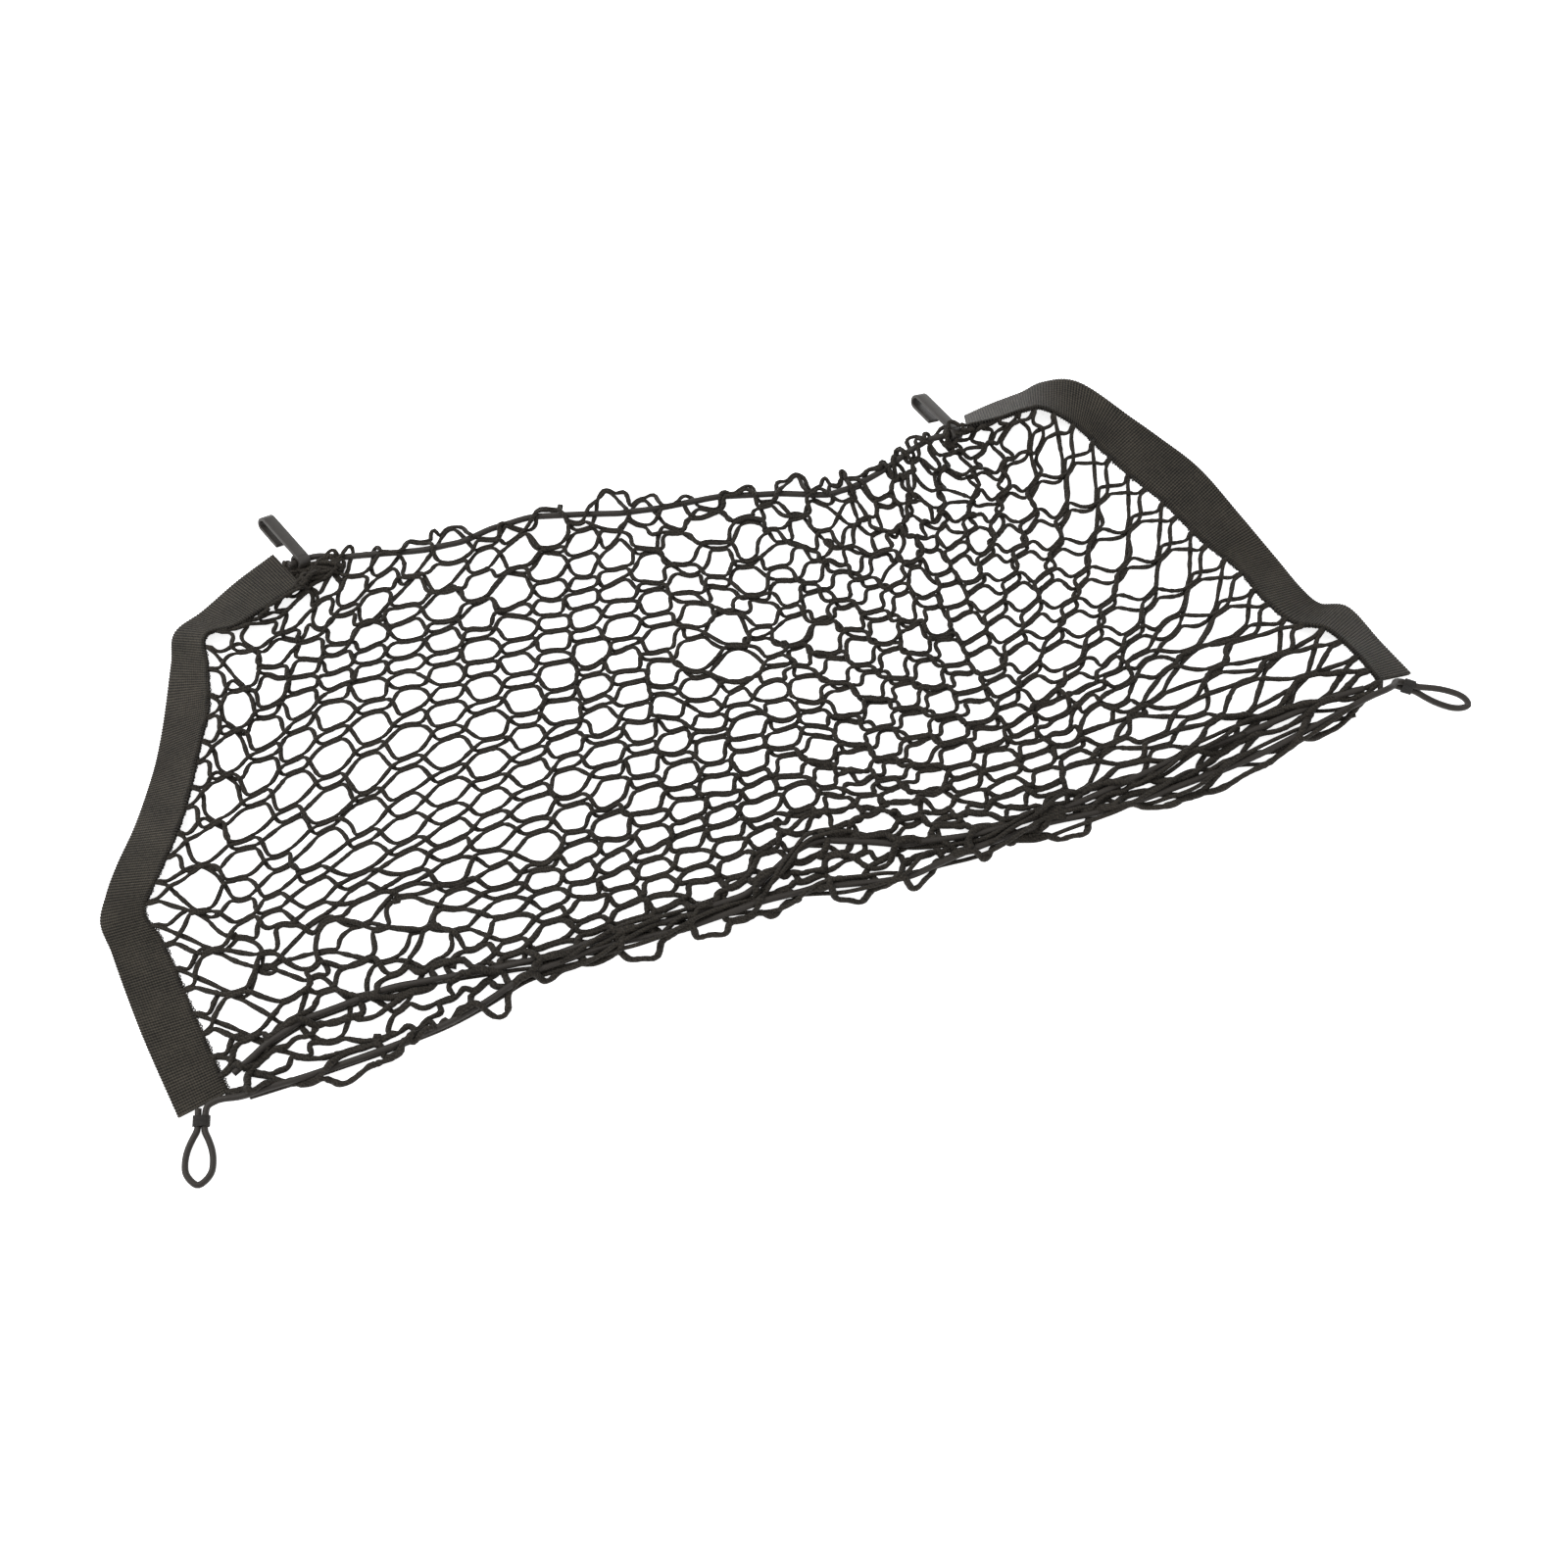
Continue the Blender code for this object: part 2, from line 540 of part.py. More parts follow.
def main():
    for obj in list(bpy.data.objects):
        bpy.data.objects.remove(obj)
    home = bpy.data.collections.new("cargo_net")
    bpy.context.scene.collection.children.link(home)
    netting = material("netting", (0.022, 0.02, 0.018), 0.85)
    webbing = material("webbing", (0.035, 0.031, 0.026), 0.8)
    sheath = material("cord_sheath", (0.035, 0.033, 0.031), 0.6)
    plastic = material("hook_plastic", (0.06, 0.056, 0.052), 0.45)
    whipping = material("whipping", (0.02, 0.019, 0.018), 0.8)
    build_net(netting, home)
    build_tape("tape_left", TAPE_LEFT, 1, webbing, home)
    build_tape("tape_right", TAPE_RIGHT, 29, webbing, home)
    build_hook("hook_left", HOOK_LEFT, plastic, home)
    build_hook("hook_right", HOOK_RIGHT, plastic, home)
    width_left, width_right = hook_axes(HOOK_LEFT)[2], hook_axes(HOOK_RIGHT)[2]
    eye_left, eye_right = np.array(HOOK_LEFT["eye"]), np.array(HOOK_RIGHT["eye"])
    route = [eye_left + width_left * k for k in (-11, -7, 0, 7)]
    inside_fold = [far_point(c) for c in range(1, 28)]
    for here, there in zip(inside_fold, inside_fold[1:]):
        route += [here, (here + there) / 2]
    route += [inside_fold[-1]]
    route += [np.array([219.5, 116.9, 20.2])]
    route += [eye_right + width_right * k for k in (-7, 0, 7)]
    route += [np.array([242.5, 120.0, 12.5])]
    cord("cord_far", route, sheath, home)
    lift = LAYER_OFF + SHEET / 2 + CORD_GAP + CORD_R
    route = []
    for c in np.arange(0.2, 29.81, 0.5):
        route.append(near_line(NEAR_UPPER, c) + (0, 0, lift))
    cord("cord_near_upper", route, sheath, home)
    left, run = teardrop(LOOP_LEFT)[:2]
    right, run_right = teardrop(LOOP_RIGHT)[:2]
    route = [left[0] - run * 9.0] + left + [left[-1] - run * 5.5]
    route += [np.array([-477.3, -199.2, 4.9]), np.array([-471.5, -198.0, 5.6])]
    for c in np.arange(0.2, 29.9, 0.8):
        drop = np.interp(c, [1.2, 2.0, 5.2, 6.2], [0, 2, 2, 0])
        route.append(near_line(NEAR_LOWER, c) + (0, 0, lift - drop))
    route += [np.array([454.0, -211.5, 23.6]), np.array([461.0, -208.8, 19.5]), np.array([465.0, -205.6, 16.0])]
    route += [right[0] - run_right * 6.0] + right + [right[-1] - run_right * 9.0]
    cord("cord_near_lower", route, sheath, home)
    build_binding("binding_left", LOOP_LEFT, whipping, home)
    build_binding("binding_right", LOOP_RIGHT, whipping, home)
    stand_on_origin(home)


main()
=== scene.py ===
import math

import bmesh
import bpy
import numpy as np
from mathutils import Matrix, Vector


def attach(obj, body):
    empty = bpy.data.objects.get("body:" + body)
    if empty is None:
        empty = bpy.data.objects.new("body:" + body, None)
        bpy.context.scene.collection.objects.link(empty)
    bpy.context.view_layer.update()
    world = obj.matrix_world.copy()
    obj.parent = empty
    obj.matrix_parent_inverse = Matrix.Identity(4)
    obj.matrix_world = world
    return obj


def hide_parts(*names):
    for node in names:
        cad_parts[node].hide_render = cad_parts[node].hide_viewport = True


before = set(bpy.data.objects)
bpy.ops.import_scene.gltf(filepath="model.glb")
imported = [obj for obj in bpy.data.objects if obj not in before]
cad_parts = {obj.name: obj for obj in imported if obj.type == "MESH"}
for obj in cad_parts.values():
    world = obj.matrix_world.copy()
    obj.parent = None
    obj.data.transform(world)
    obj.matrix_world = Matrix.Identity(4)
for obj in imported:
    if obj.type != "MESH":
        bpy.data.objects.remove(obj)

bl_info = {
    "name": "Cargo net",
    "version": (1, 0, 0),
    "blender": (4, 5, 0),
    "location": "3D View > Sidebar > Cargo net",
    "description": "Elastic cargo net laid double, with its tapes, cords, loops and hooks",
    "category": "Add Mesh",
}

# ------------------------------------------------------------------ sizes
# Plan sizes are in millimetres, as the frame's own tables hold them; SHIFT
# takes them to the frame, where the net is centred on X and Y.
SHIFT = np.array([-0.204, 3.220, 0.0])
LOOK_AT = (-0.2, -107.8, 0.0)        # the camera's aim
STAND_AT = (-270.9, -813.1, 1779.8)  # and its place
COLUMNS = 30                         # meshes along the net
ROWS = 13                            # meshes drawn across one layer
TAPE_ROWS = 14                       # last row of the tapes' tables, at the near cord
FLOOR_MID = 1.5                      # middle of the doubled net above the floor
TAPE_HALF = 1.7                      # half the folded tape's thickness
TAPE_PLY = 1.2
TAPE_GAP = 0.6
CORD_R = 2.5
CORD_LIFT = 4.4                      # near cords above the net's middle
FAR_REST = 4.2                       # far cord's height where it lies flat

# row, outer edge x and y (on the floor), inner edge x, y and height
TAPE_LEFT = [
    (0.0, -306, 216, -293, 175, 14), (1.0, -342, 202, -324, 166, 14), (1.8, -373, 187, -352, 159, 14),
    (2.45, -396, 178, -373, 160, 14), (3.3, -407, 152, -380, 132, 15), (4.2, -425, 108, -389, 98, 16),
    (5.0, -438, 80, -401, 75, 17), (6.1, -454, 53, -418, 42, 17), (7.2, -472, 27, -436, 12, 17),
    (8.0, -491, 4, -455, -11, 14), (8.7, -504, -15, -470, -27, 10), (9.2, -513, -32, -479, -38, 6),
    (10.0, -512, -60, -474, -62, 1.7), (12.0, -508, -128, -467, -130, 1.7),
    (14.0, -500, -199, -460, -193, 1.7),
]
TAPE_RIGHT = [
    (0.0, 251, 137, 241, 113, 30), (1.05, 279, 140, 269, 110, 30), (1.8, 303, 141, 291, 111, 28),
    (2.45, 322, 144, 306, 111, 22), (3.3, 350, 134, 328, 96, 8), (4.2, 378, 86, 342, 68, 1.7),
    (5.0, 392, 60, 352, 42, 1.7), (6.0, 406, 32, 366, 13, 1.7), (7.8, 421, -25, 383, -37, 2.0),
    (8.9, 431, -70, 397, -70, 6), (10.0, 438, -102, 402, -104, 13), (11.0, 446, -119, 414, -131, 14),
    (12.0, 465, -130, 434, -147, 18), (13.0, 475, -166, 445, -176, 21), (14.0, 485, -199, 451, -202, 21),
]
# x and y of the lay at rows and columns of meshes
LAY_COLUMNS = [2, 4, 8, 12, 15, 18, 22, 26, 28]
LAY = {
    0.0: [(-268, 196), (-240, 188), (-150, 174), (-45, 155), (30, 139), (98, 118), (165, 110),
          (206, 117), (226, 106)],
    2.5: [(-328, 136), (-290, 138), (-172, 114), (-62, 98), (20, 80), (86, 58), (158, 42), (230, 64),
          (266, 78)],
    5.0: [(-350, 84), (-292, 82), (-182, 52), (-74, 34), (6, 18), (74, -6), (158, -34), (252, -8),
          (298, 14)],
    7.5: [(-390, 2), (-334, -6), (-200, -20), (-88, -30), (-10, -48), (62, -72), (156, -94), (264, -76),
          (318, -60)],
    10.0: [(-424, -66), (-368, -70), (-216, -86), (-100, -92), (-20, -104), (54, -122), (155, -144),
           (272, -132), (332, -120)],
    12.0: [(-424, -120), (-372, -116), (-225, -132), (-110, -138), (-30, -142), (48, -152), (154, -176),
           (278, -168), (350, -156)],
}
FAR_CORD = [(-273, 200), (-256, 193), (-241, 189), (-195, 176), (-162, 172), (-140, 175),
            (-106, 174), (-68, 162), (-40, 152), (-9, 145), (39, 138), (86, 123),
            (121, 108), (144, 107), (172, 111), (197, 117), (213, 118)]
FAR_HEIGHT = [(-273, 5.2), (-256, 4.2), (121, 4.2), (144, 5), (172, 9), (197, 15), (213, 19.5)]
NEAR_UPPER = [(-455, -184), (-424, -170), (-394, -162), (-328, -161), (-294, -167),
              (-256, -174), (-212, -180), (-152, -181), (-109, -187), (-56, -186),
              (-20, -170), (3, -164), (37, -178), (64, -191), (122, -204), (187, -208),
              (234, -205), (294, -200), (340, -201), (390, -201), (420, -202), (449, -206)]
NEAR_LOWER = [(-458, -201), (-413, -203), (-349, -204), (-297, -202), (-266, -197),
              (-229, -187), (-168, -187), (-117, -195), (-48, -196), (-3, -201),
              (53, -217), (114, -213), (166, -213), (227, -222), (308, -222),
              (345, -221), (390, -217), (414, -215), (455, -211)]
NEAR_COLUMNS_X = [(0, -459), (4, -342), (8, -232), (12, -120), (15, -38), (18, 44),
                  (22, 153), (26, 285), (29, 404), (30, 451)]
FAR_COLUMNS_X = [(1, -273), (4, -240), (8, -150), (12, -45), (15, 30), (18, 98),
                 (22, 165), (26, 206), (27, 213), (30, 240)]
# Rows past an edge stand out by these mm a row, times a least share and a spread.
FAR_OUT, NEAR_OUT = (25, 0.15, 2.8), (20, 0.1, 1.9)
# A tape's raised edge falls off over these columns, left and right, by a power.
RAISED_LEFT, RAISED_RIGHT, RAISED_POWER = 3.2, 3.6, 1.7
# Tangled places: column, row, half widths in columns and rows, strength.
TANGLES = [(15.5, 5.0, 2.2, 2.6, 1.2), (17.5, 12.0, 4.0, 1.6, 1.0), (3.4, 11.6, 4.6, 2.8, 1.9),
           (27.0, 11.5, 3.4, 2.7, 1.5), (21.0, 1.5, 4.0, 1.4, 0.9), (10.5, 7.5, 3.0, 3.0, 0.25),
           (15.0, 0.6, 15.0, 1.0, 0.6)]
# Standing folds: columns, rows, height, half width in columns.
FOLDS = [
    (15.2, 16.4, 2.5, 12.0, 15.0, 1.4), (22.6, 20.2, 1.0, 5.8, 12.0, 1.1), (8.2, 6.6, 3.0, 10.0, 6.0, 1.6),
    (25.5, 24.5, 4.0, 11.5, 8.0, 1.5), (12.4, 11.6, 1.0, 9.0, 5.0, 1.2),
]
# Lower layer's shift against the upper one: column, x and y.
LAYER_SLIP = [(0, 0, 0), (2, -4, -9.5), (10, -4, -10), (14, 0, -9), (18, 5, -6), (21, 5, -5),
              (24, -3, -8.5), (28, -3, -8), (30, 0, 0)]
EDGE_YARN = 0.9                      # an edge yarn's thickness against a mesh's
BUNCH_LEFT = [(-301.0, 190.0, 5.0), (-261.0, 185.0, 5.5)]   # gathered yarns, tape to cord
BINDING_LENGTH, BINDING_TURNS, BINDING_THREAD = 9.0, 9, 0.5  # thread: its radius
LEG_GAP = 0.15               # half the gap between a loop's two legs
LOOP_LEFT = dict(neck=(-484.6, -208.0, 3.9), tip=(-500.0, -252.0, 2.6), width=20.0, roll=180.0)
LOOP_RIGHT = dict(neck=(474.0, -211.0, 11.0), tip=(511.0, -241.0, 9.0), width=15.0, roll=68.0)
LOOP_SHAPE = [(0.0, 0.0), (0.14, 0.0), (0.3, 0.45), (0.48, 0.86), (0.66, 1.0), (0.8, 0.9), (0.93, 0.35)]
HOOK_LEFT = dict(eye=(-287.0, 199.0, 8.3), heading=(-0.335, 0.942), pitch=0.0, roll=28.0)
HOOK_RIGHT = dict(eye=(232.0, 117.0, 17.5), heading=(-0.246, 0.969), pitch=-11.0, roll=26.0)
HOOK_WIDTH, HOOK_THICK, HOOK_DEPTH, HOOK_LENGTH = 11.0, 2.5, 12.0, 56.0
HOOK_MOUTH, EYE_R = 23.0, 3.1


def linear(code):
    """Linear colour from an sRGB hex code: each channel follows the sRGB curve."""
    parts = [int(code[k:k + 2], 16) / 255 for k in (1, 3, 5)]
    return tuple(p / 12.92 if p <= 0.04045 else ((p + 0.055) / 1.055) ** 2.4 for p in parts)


# ------------------------------------------------------------------ settings
def length_setting(name, description, default, least, most):
    """A length that the panel shows, in metres."""
    return bpy.props.FloatProperty(name=name, description=description, default=default, min=least,
                                   max=most, subtype="DISTANCE", unit="LENGTH")


def colour_setting(name, description, code):
    """A colour that the panel shows, given by its sRGB code."""
    return bpy.props.FloatVectorProperty(name=name, description=description, default=linear(code),
                                         size=3, subtype="COLOR", min=0.0, max=1.0)


class CargoNetSizes(bpy.types.PropertyGroup):
    strand: length_setting("Strand", "Thickness of one strand of netting", 0.0038, 0.001, 0.004)
    mesh_edge: length_setting("Mesh edge", "Length of one side of a six-sided mesh", 0.0195, 0.01, 0.04)
    rib: length_setting("Tape rib", "Spacing of the tape's cross ribs", 0.0022, 0.001, 0.005)
    disorder: length_setting("Disorder", "How far meshes lie off their even places", 0.004, 0.0, 0.01)


class CargoNetColours(bpy.types.PropertyGroup):
    netting: colour_setting("Netting", "Dark yarn of the netting", "#1D1A16")
    webbing: colour_setting("Webbing", "Yarn of the edge tapes", "#221F1A")
    sheath: colour_setting("Cord sheath", "Braided cover of the elastic cords", "#231F1B")
    plastic: colour_setting("Hook plastic", "Moulded plastic of the hooks", "#2C2926")


# ------------------------------------------------------------------ numbers
def column_of(table, at, column=1):
    """A column of a table, straight between its rows, at places in its first column."""
    rows = np.array(table, dtype=float)
    return np.interp(at, rows[:, 0], rows[:, column])


def smooth_columns(table, at):
    """All columns of a table at the places at, by a cubic through each four rows.

    Between two rows the cubic meets both, and at each it has the slope that the
    row's neighbours give, weighed by their distances.
    """
    rows = np.array(table, dtype=float)
    x, y = rows[:, 0], rows[:, 1:]
    slope = np.gradient(y, x, axis=0)
    k = np.clip(np.searchsorted(x, at, side="right") - 1, 0, len(x) - 2)
    h = (x[k + 1] - x[k])[:, None]
    u = ((at - x[k]) / (x[k + 1] - x[k]))[:, None]
    return ((2 * u ** 3 - 3 * u ** 2 + 1) * y[k] + (u ** 3 - 2 * u ** 2 + u) * h * slope[k]
            + (3 * u ** 2 - 2 * u ** 3) * y[k + 1] + (u ** 3 - u ** 2) * h * slope[k + 1])


def unit(vectors):
    """Vectors of length one."""
    return vectors / np.maximum(np.linalg.norm(vectors, axis=-1, keepdims=True), 1e-9)


def run_length(points):
    """Length run along a line at each of its points."""
    return np.concatenate([[0], np.cumsum(np.linalg.norm(np.diff(points, axis=0), axis=1))])


def columns_at(at, places, table):
    """Each column of a table, given at places, read straight between them."""
    return np.column_stack([np.interp(at, places, table[:, k]) for k in range(table.shape[1])])


def soften(values, rounds):
    """Average each place with its two neighbours along the yarn, rounds times."""
    for _ in range(rounds):
        values[:, 1:-1] = 0.25 * (values[:, 2:] + 2 * values[:, 1:-1] + values[:, :-2])


def ease_bends(points, rounds):
    """Move each place three tenths of the way to the middle of its neighbours."""
    for _ in range(rounds):
        points[:, 1:-1] += 0.3 * (0.5 * (points[:, 2:] + points[:, :-2]) - points[:, 1:-1])


def even_path(points, step):
    """Points a step apart along a smooth curve through a route, both ends kept."""
    points = np.array(points, dtype=float)
    run = run_length(points)
    fine = np.linspace(0, run[-1], int(run[-1] / step * 4) + 2)
    dense = smooth_columns(np.column_stack([run, points]), fine)
    for _ in range(int(2.0 / step * 8)):
        dense[1:-1] += 0.25 * (dense[2:] + dense[:-2] - 2 * dense[1:-1])
    run = run_length(dense)
    return columns_at(np.linspace(0, run[-1], int(run[-1] / step) + 1), run, dense)


# ------------------------------------------------------------------ meshes
def metres(points):
    """Frame coordinates, in metres, of points in millimetres."""
    return (points + SHIFT) * 0.001


def strip_mesh(name, rings, along, around, closed_ends=True):
    """Mesh of many tubes. rings is tube, place along, place around, xyz in mm.

    A vertex of the tube's grid joins its neighbours along and around it, and the
    last place around joins the first. The UV map holds the millimetres along the
    tube and around it, so a pattern follows the surface at its real size.
    """
    tubes, length, sides = rings.shape[:3]
    index = np.arange(tubes * length * sides).reshape(tubes, length, sides)
    a, b = index[:, :-1, :], index[:, 1:, :]
    quads = np.stack([a, b, np.roll(b, -1, axis=2), np.roll(a, -1, axis=2)], axis=-1).reshape(-1, 4)
    u = np.broadcast_to(along[:, :, None], (tubes, length, sides))
    v = np.broadcast_to(around, (tubes, length, sides + 1))
    here, on = slice(None, -1), slice(1, None)
    uv = np.stack([np.stack([u[:, p], v[:, p, q]], axis=-1)
                   for p, q in ((here, here), (on, here), (on, on), (here, on))], axis=3).reshape(-1, 2)
    loops = quads.reshape(-1)
    sizes = np.full(len(quads), 4)
    if closed_ends:
        ends = np.concatenate([index[:, 0], index[:, -1, ::-1]])
        loops = np.concatenate([loops, ends.reshape(-1)])
        sizes = np.concatenate([sizes, np.full(len(ends), sides)])
        uv = np.concatenate([uv, np.zeros((ends.size, 2))])
    mesh = bpy.data.meshes.new(name)
    mesh.vertices.add(index.size)
    mesh.vertices.foreach_set("co", metres(rings).reshape(-1))
    mesh.loops.add(len(loops))
    mesh.loops.foreach_set("vertex_index", loops)
    mesh.polygons.add(len(sizes))
    mesh.polygons.foreach_set("loop_start", np.concatenate([[0], np.cumsum(sizes)[:-1]]))
    mesh.update(calc_edges=True)
    mesh.uv_layers.new(name="surface_mm").data.foreach_set("uv", uv.reshape(-1).astype(np.float32))
    mesh.polygons.foreach_set("use_smooth", np.ones(len(sizes), dtype=bool))
    mesh.validate()
    return mesh


def tube_rings(paths, radius, sides):
    """Round tubes along paths: centre + r (cos a side + sin a up) for even angles a.

    side is level and square to the path, up is square to both. paths is
    tube, place, xyz; radius the same without xyz.
    """
    run = unit(np.gradient(paths, axis=1))
    level = np.stack([run[..., 1], -run[..., 0], np.zeros(run.shape[:2])], axis=-1)
    level[np.linalg.norm(level, axis=-1) < 0.05] = (1, 0, 0)
    side = unit(level)
    up = np.cross(side, run)
    angle = np.arange(sides) * 2 * math.pi / sides
    ring = side[:, :, None] * np.cos(angle)[:, None] + up[:, :, None] * np.sin(angle)[:, None]
    return paths[:, :, None] + ring * radius[:, :, None, None]


def tube_mesh(name, paths, radius, sides):
    """Mesh of round tubes; its map holds the millimetres along each tube, and
    around it at the tubes' mean radius."""
    step = np.linalg.norm(np.diff(paths, axis=1), axis=-1)
    along = np.concatenate([np.zeros((len(paths), 1)), np.cumsum(step, axis=1)], axis=1)
    around = np.arange(sides + 1) * 2 * math.pi / sides * float(np.mean(radius))
    return strip_mesh(name, tube_rings(paths, radius, sides), along, around)


def place(name, mesh, mat, nodes):
    """Put a mesh in the scene as a piece that stands for the frame's nodes."""
    mesh.materials.clear()
    mesh.materials.append(mat)
    piece = bpy.data.objects.new(name, mesh)
    bpy.context.scene.collection.objects.link(piece)
    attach(piece, "root")
    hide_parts(*nodes)
    return piece


# ------------------------------------------------------------------ materials
def node(tree, kind, inputs=(), **settings):
    """Add a shader node, set it, and give its inputs values or links; a node
    given as a value is linked from its first output."""
    made = tree.nodes.new("ShaderNode" + kind)
    for key, value in settings.items():
        setattr(made, key, value)
    for key, value in dict(inputs).items():
        value = value.outputs[0] if isinstance(value, bpy.types.Node) else value
        if isinstance(value, bpy.types.NodeSocket):
            tree.links.new(value, made.inputs[key])
        else:
            made.inputs[key].default_value = value
    return made


def blank(name, **values):
    """New material whose shader has these values; returns it, its tree and shader."""
    mat = bpy.data.materials.new(name)
    mat.use_nodes = True
    bsdf = mat.node_tree.nodes["Principled BSDF"]
    for key, value in values.items():
        bsdf.inputs[key.replace("_", " ")].default_value = value
    return mat, mat.node_tree, bsdf


def weave_wave(tree, along, around, operation="SINE"):
    """Sine or cosine of along times the millimetres along the surface plus around
    times those around it."""
    parts = node(tree, "SeparateXYZ", {0: node(tree, "UVMap", uv_map="surface_mm")})
    lag = node(tree, "Math", {0: parts.outputs[1], 1: around}, operation="MULTIPLY")
    angle = node(tree, "Math", {0: parts.outputs[0], 1: along, 2: lag}, operation="MULTIPLY_ADD")
    return node(tree, "Math", {0: angle}, operation=operation)


def weighted(tree, start, *terms):
    """Start plus each term's value times its weight."""
    for term, weight in terms:
        start = node(tree, "Math", {0: term, 1: weight, 2: start}, operation="MULTIPLY_ADD")
    return start


def cloud(tree, scale, detail):
    """Smooth random patches on Object coordinates, scale of them a metre."""
    spot = node(tree, "TexCoord").outputs["Object"]
    return node(tree, "TexNoise", {"Vector": spot, "Scale": scale, "Detail": detail})


def dress(tree, bsdf, colour, light, dark, pale, relief=None, strength=0.0, depth=0.0):
    """Give a shader a colour between dark and pale times the given one, by light,
    and a bump of depth metres from relief."""
    shades = [tuple(min(1.0, c * factor) for c in colour) + (1.0,) for factor in (dark, pale)]
    tone = node(tree, "Mix", {"Factor": light, "A": shades[0], "B": shades[1]}, data_type="RGBA",
                clamp_factor=True)
    tree.links.new(tone.outputs["Result"], bsdf.inputs["Base Color"])
    if relief is not None:
        bump = node(tree, "Bump", {"Height": relief, "Strength": strength, "Distance": depth})
        tree.links.new(bump.outputs[0], bsdf.inputs["Normal"])


def netting_material(colour):
    """Polyester netting yarn, warp knitted: plied loops give small beads, their tops painted paler as a
    painted highlight, over a dull, slightly fuzzy dark ground with random patches of tone."""
    mat, tree, bsdf = blank("knitted_polyester_netting", Roughness=0.65, Specular_IOR_Level=0.12,
                            Sheen_Weight=0.04, Sheen_Roughness=0.5)
    # a bead of the yarn is 1.9 mm long; the plies lean across it, a turn in 3.8 mm
    relief = weighted(tree, 0.0, (weave_wave(tree, 1.65, 1.9), 0.5),
                      (weave_wave(tree, 2 * math.pi / 1.9, 0.0), 0.5))
    # light mixes random patches of tone with the beads' relief; the relief term is a painted highlight on
    # the bead tops
    light = weighted(tree, -0.28, (cloud(tree, 22.0, 2.0), 0.35), (cloud(tree, 620.0, 1.0), 0.9),
                     (relief, 0.22))
    dress(tree, bsdf, colour, light, 0.45, 3.4, relief, 0.8, 0.0003)
    return mat


def webbing_material(colour, rib):
    """Knitted polyester tape: cross ribs with a bead at each wale, dull, with random pale flecks; the ribs'
    and beads' relief also paints their tops pale, a painted highlight, and the grooves dark, painted shade.
    The real ribs, 1.5 to 2 mm apart, are too fine to show, so rib, in mm, is a little more."""
    mat, tree, bsdf = blank("ribbed_polyester_tape", Roughness=0.6, Specular_IOR_Level=0.15,
                            Sheen_Weight=0.04)
    # wales 2.1 mm apart across the tape
    bead = weighted(tree, 0.0, (weave_wave(tree, 2 * math.pi / rib, 0.0, "COSINE"), 0.62),
                    (weave_wave(tree, 0.0, 2 * math.pi / 2.1, "COSINE"), 0.38))
    # light mixes random patches of tone with the ribs' relief; the bead term paints a highlight on the rib
    # tops and shade in the grooves
    light = weighted(tree, -0.15, (cloud(tree, 40.0, 2.0), 0.4), (cloud(tree, 500.0, 1.0), 0.5),
                     (bead, 0.42))
    dress(tree, bsdf, colour, light, 0.1, 4.2, bead, 0.7, 0.0003)
    return mat


def sheath_material(colour):
    """Braided polyester sheath on rubber cord: fine crossed plaits, satin."""
    mat, tree, bsdf = blank("braided_polyester_sheath", Roughness=0.5, Specular_IOR_Level=0.25,
                            Sheen_Weight=0.06, Sheen_Roughness=0.4)
    # the plaits cross at 1.6 mm along and 1.3 mm around the cord
    plait = node(tree, "Math", {0: weave_wave(tree, 3.93, 4.8), 1: weave_wave(tree, 3.93, -4.8)},
                 operation="MULTIPLY")
    # light mixes random patches of tone with the plaits' relief, a painted highlight on the plait crossings
    light = weighted(tree, 0.1, (cloud(tree, 300.0, 2.0), 0.4), (plait, 0.18))
    dress(tree, bsdf, colour, light, 0.7, 1.9, plait, 0.35, 0.0002)
    return mat


def whipping_material(colour):
    """Waxed polyester thread wound tight: each turn a thin dark gleam."""
    mat, tree, bsdf = blank("wound_polyester_thread", Roughness=0.55, Specular_IOR_Level=0.2)
    dress(tree, bsdf, colour, cloud(tree, 900.0, 2.0), 0.6, 1.5)
    return mat


def plastic_material(colour):
    """Nylon, injection moulded: fine spark-eroded grain, satin, its tone a little uneven in random patches."""
    mat, tree, bsdf = blank("moulded_nylon", Roughness=0.42, IOR=1.53, Specular_IOR_Level=0.35)
    dress(tree, bsdf, colour, cloud(tree, 160.0, 3.0), 0.8, 1.25, cloud(tree, 2200.0, 2.0), 0.25, 0.00008)
    return mat


def paint(context, key):
    """A colour as the panel has it."""
    return tuple(getattr(context.scene.cargo_net_colours, key))


# ------------------------------------------------------------------ lay of the net
def tape_edges(table, rows):
    """Inner and outer edge of a tape at rows of the net; the outer one lies on the floor."""
    at = np.clip(rows, 0, TAPE_ROWS)
    inner = np.column_stack([column_of(table, at, k) for k in (3, 4, 5)])
    outer = np.column_stack([column_of(table, at, 1), column_of(table, at, 2),
                             np.full(len(at), TAPE_HALF)])
    return inner, outer


def raised_edges(row, col):
    """Height that the tapes' raised inner edges give the net: each falls off with
    the columns away from its tape, as a power of what is left of its reach."""
    left, right = [column_of(table, row, 5) - FLOOR_MID for table in (TAPE_LEFT, TAPE_RIGHT)]
    return (left * np.clip(1 - col / RAISED_LEFT, 0, 1) ** RAISED_POWER
            + right * np.clip(1 - (COLUMNS - col) / RAISED_RIGHT, 0, 1) ** RAISED_POWER)


# Lines of the lay grid in each row and column of meshes, and its lines before
# the fold, on the net and past the near cord.
ROW_LINES, COLUMN_LINES = 10, 4
BEFORE, WITHIN, PAST = ROW_LINES, TAPE_ROWS * ROW_LINES, 15


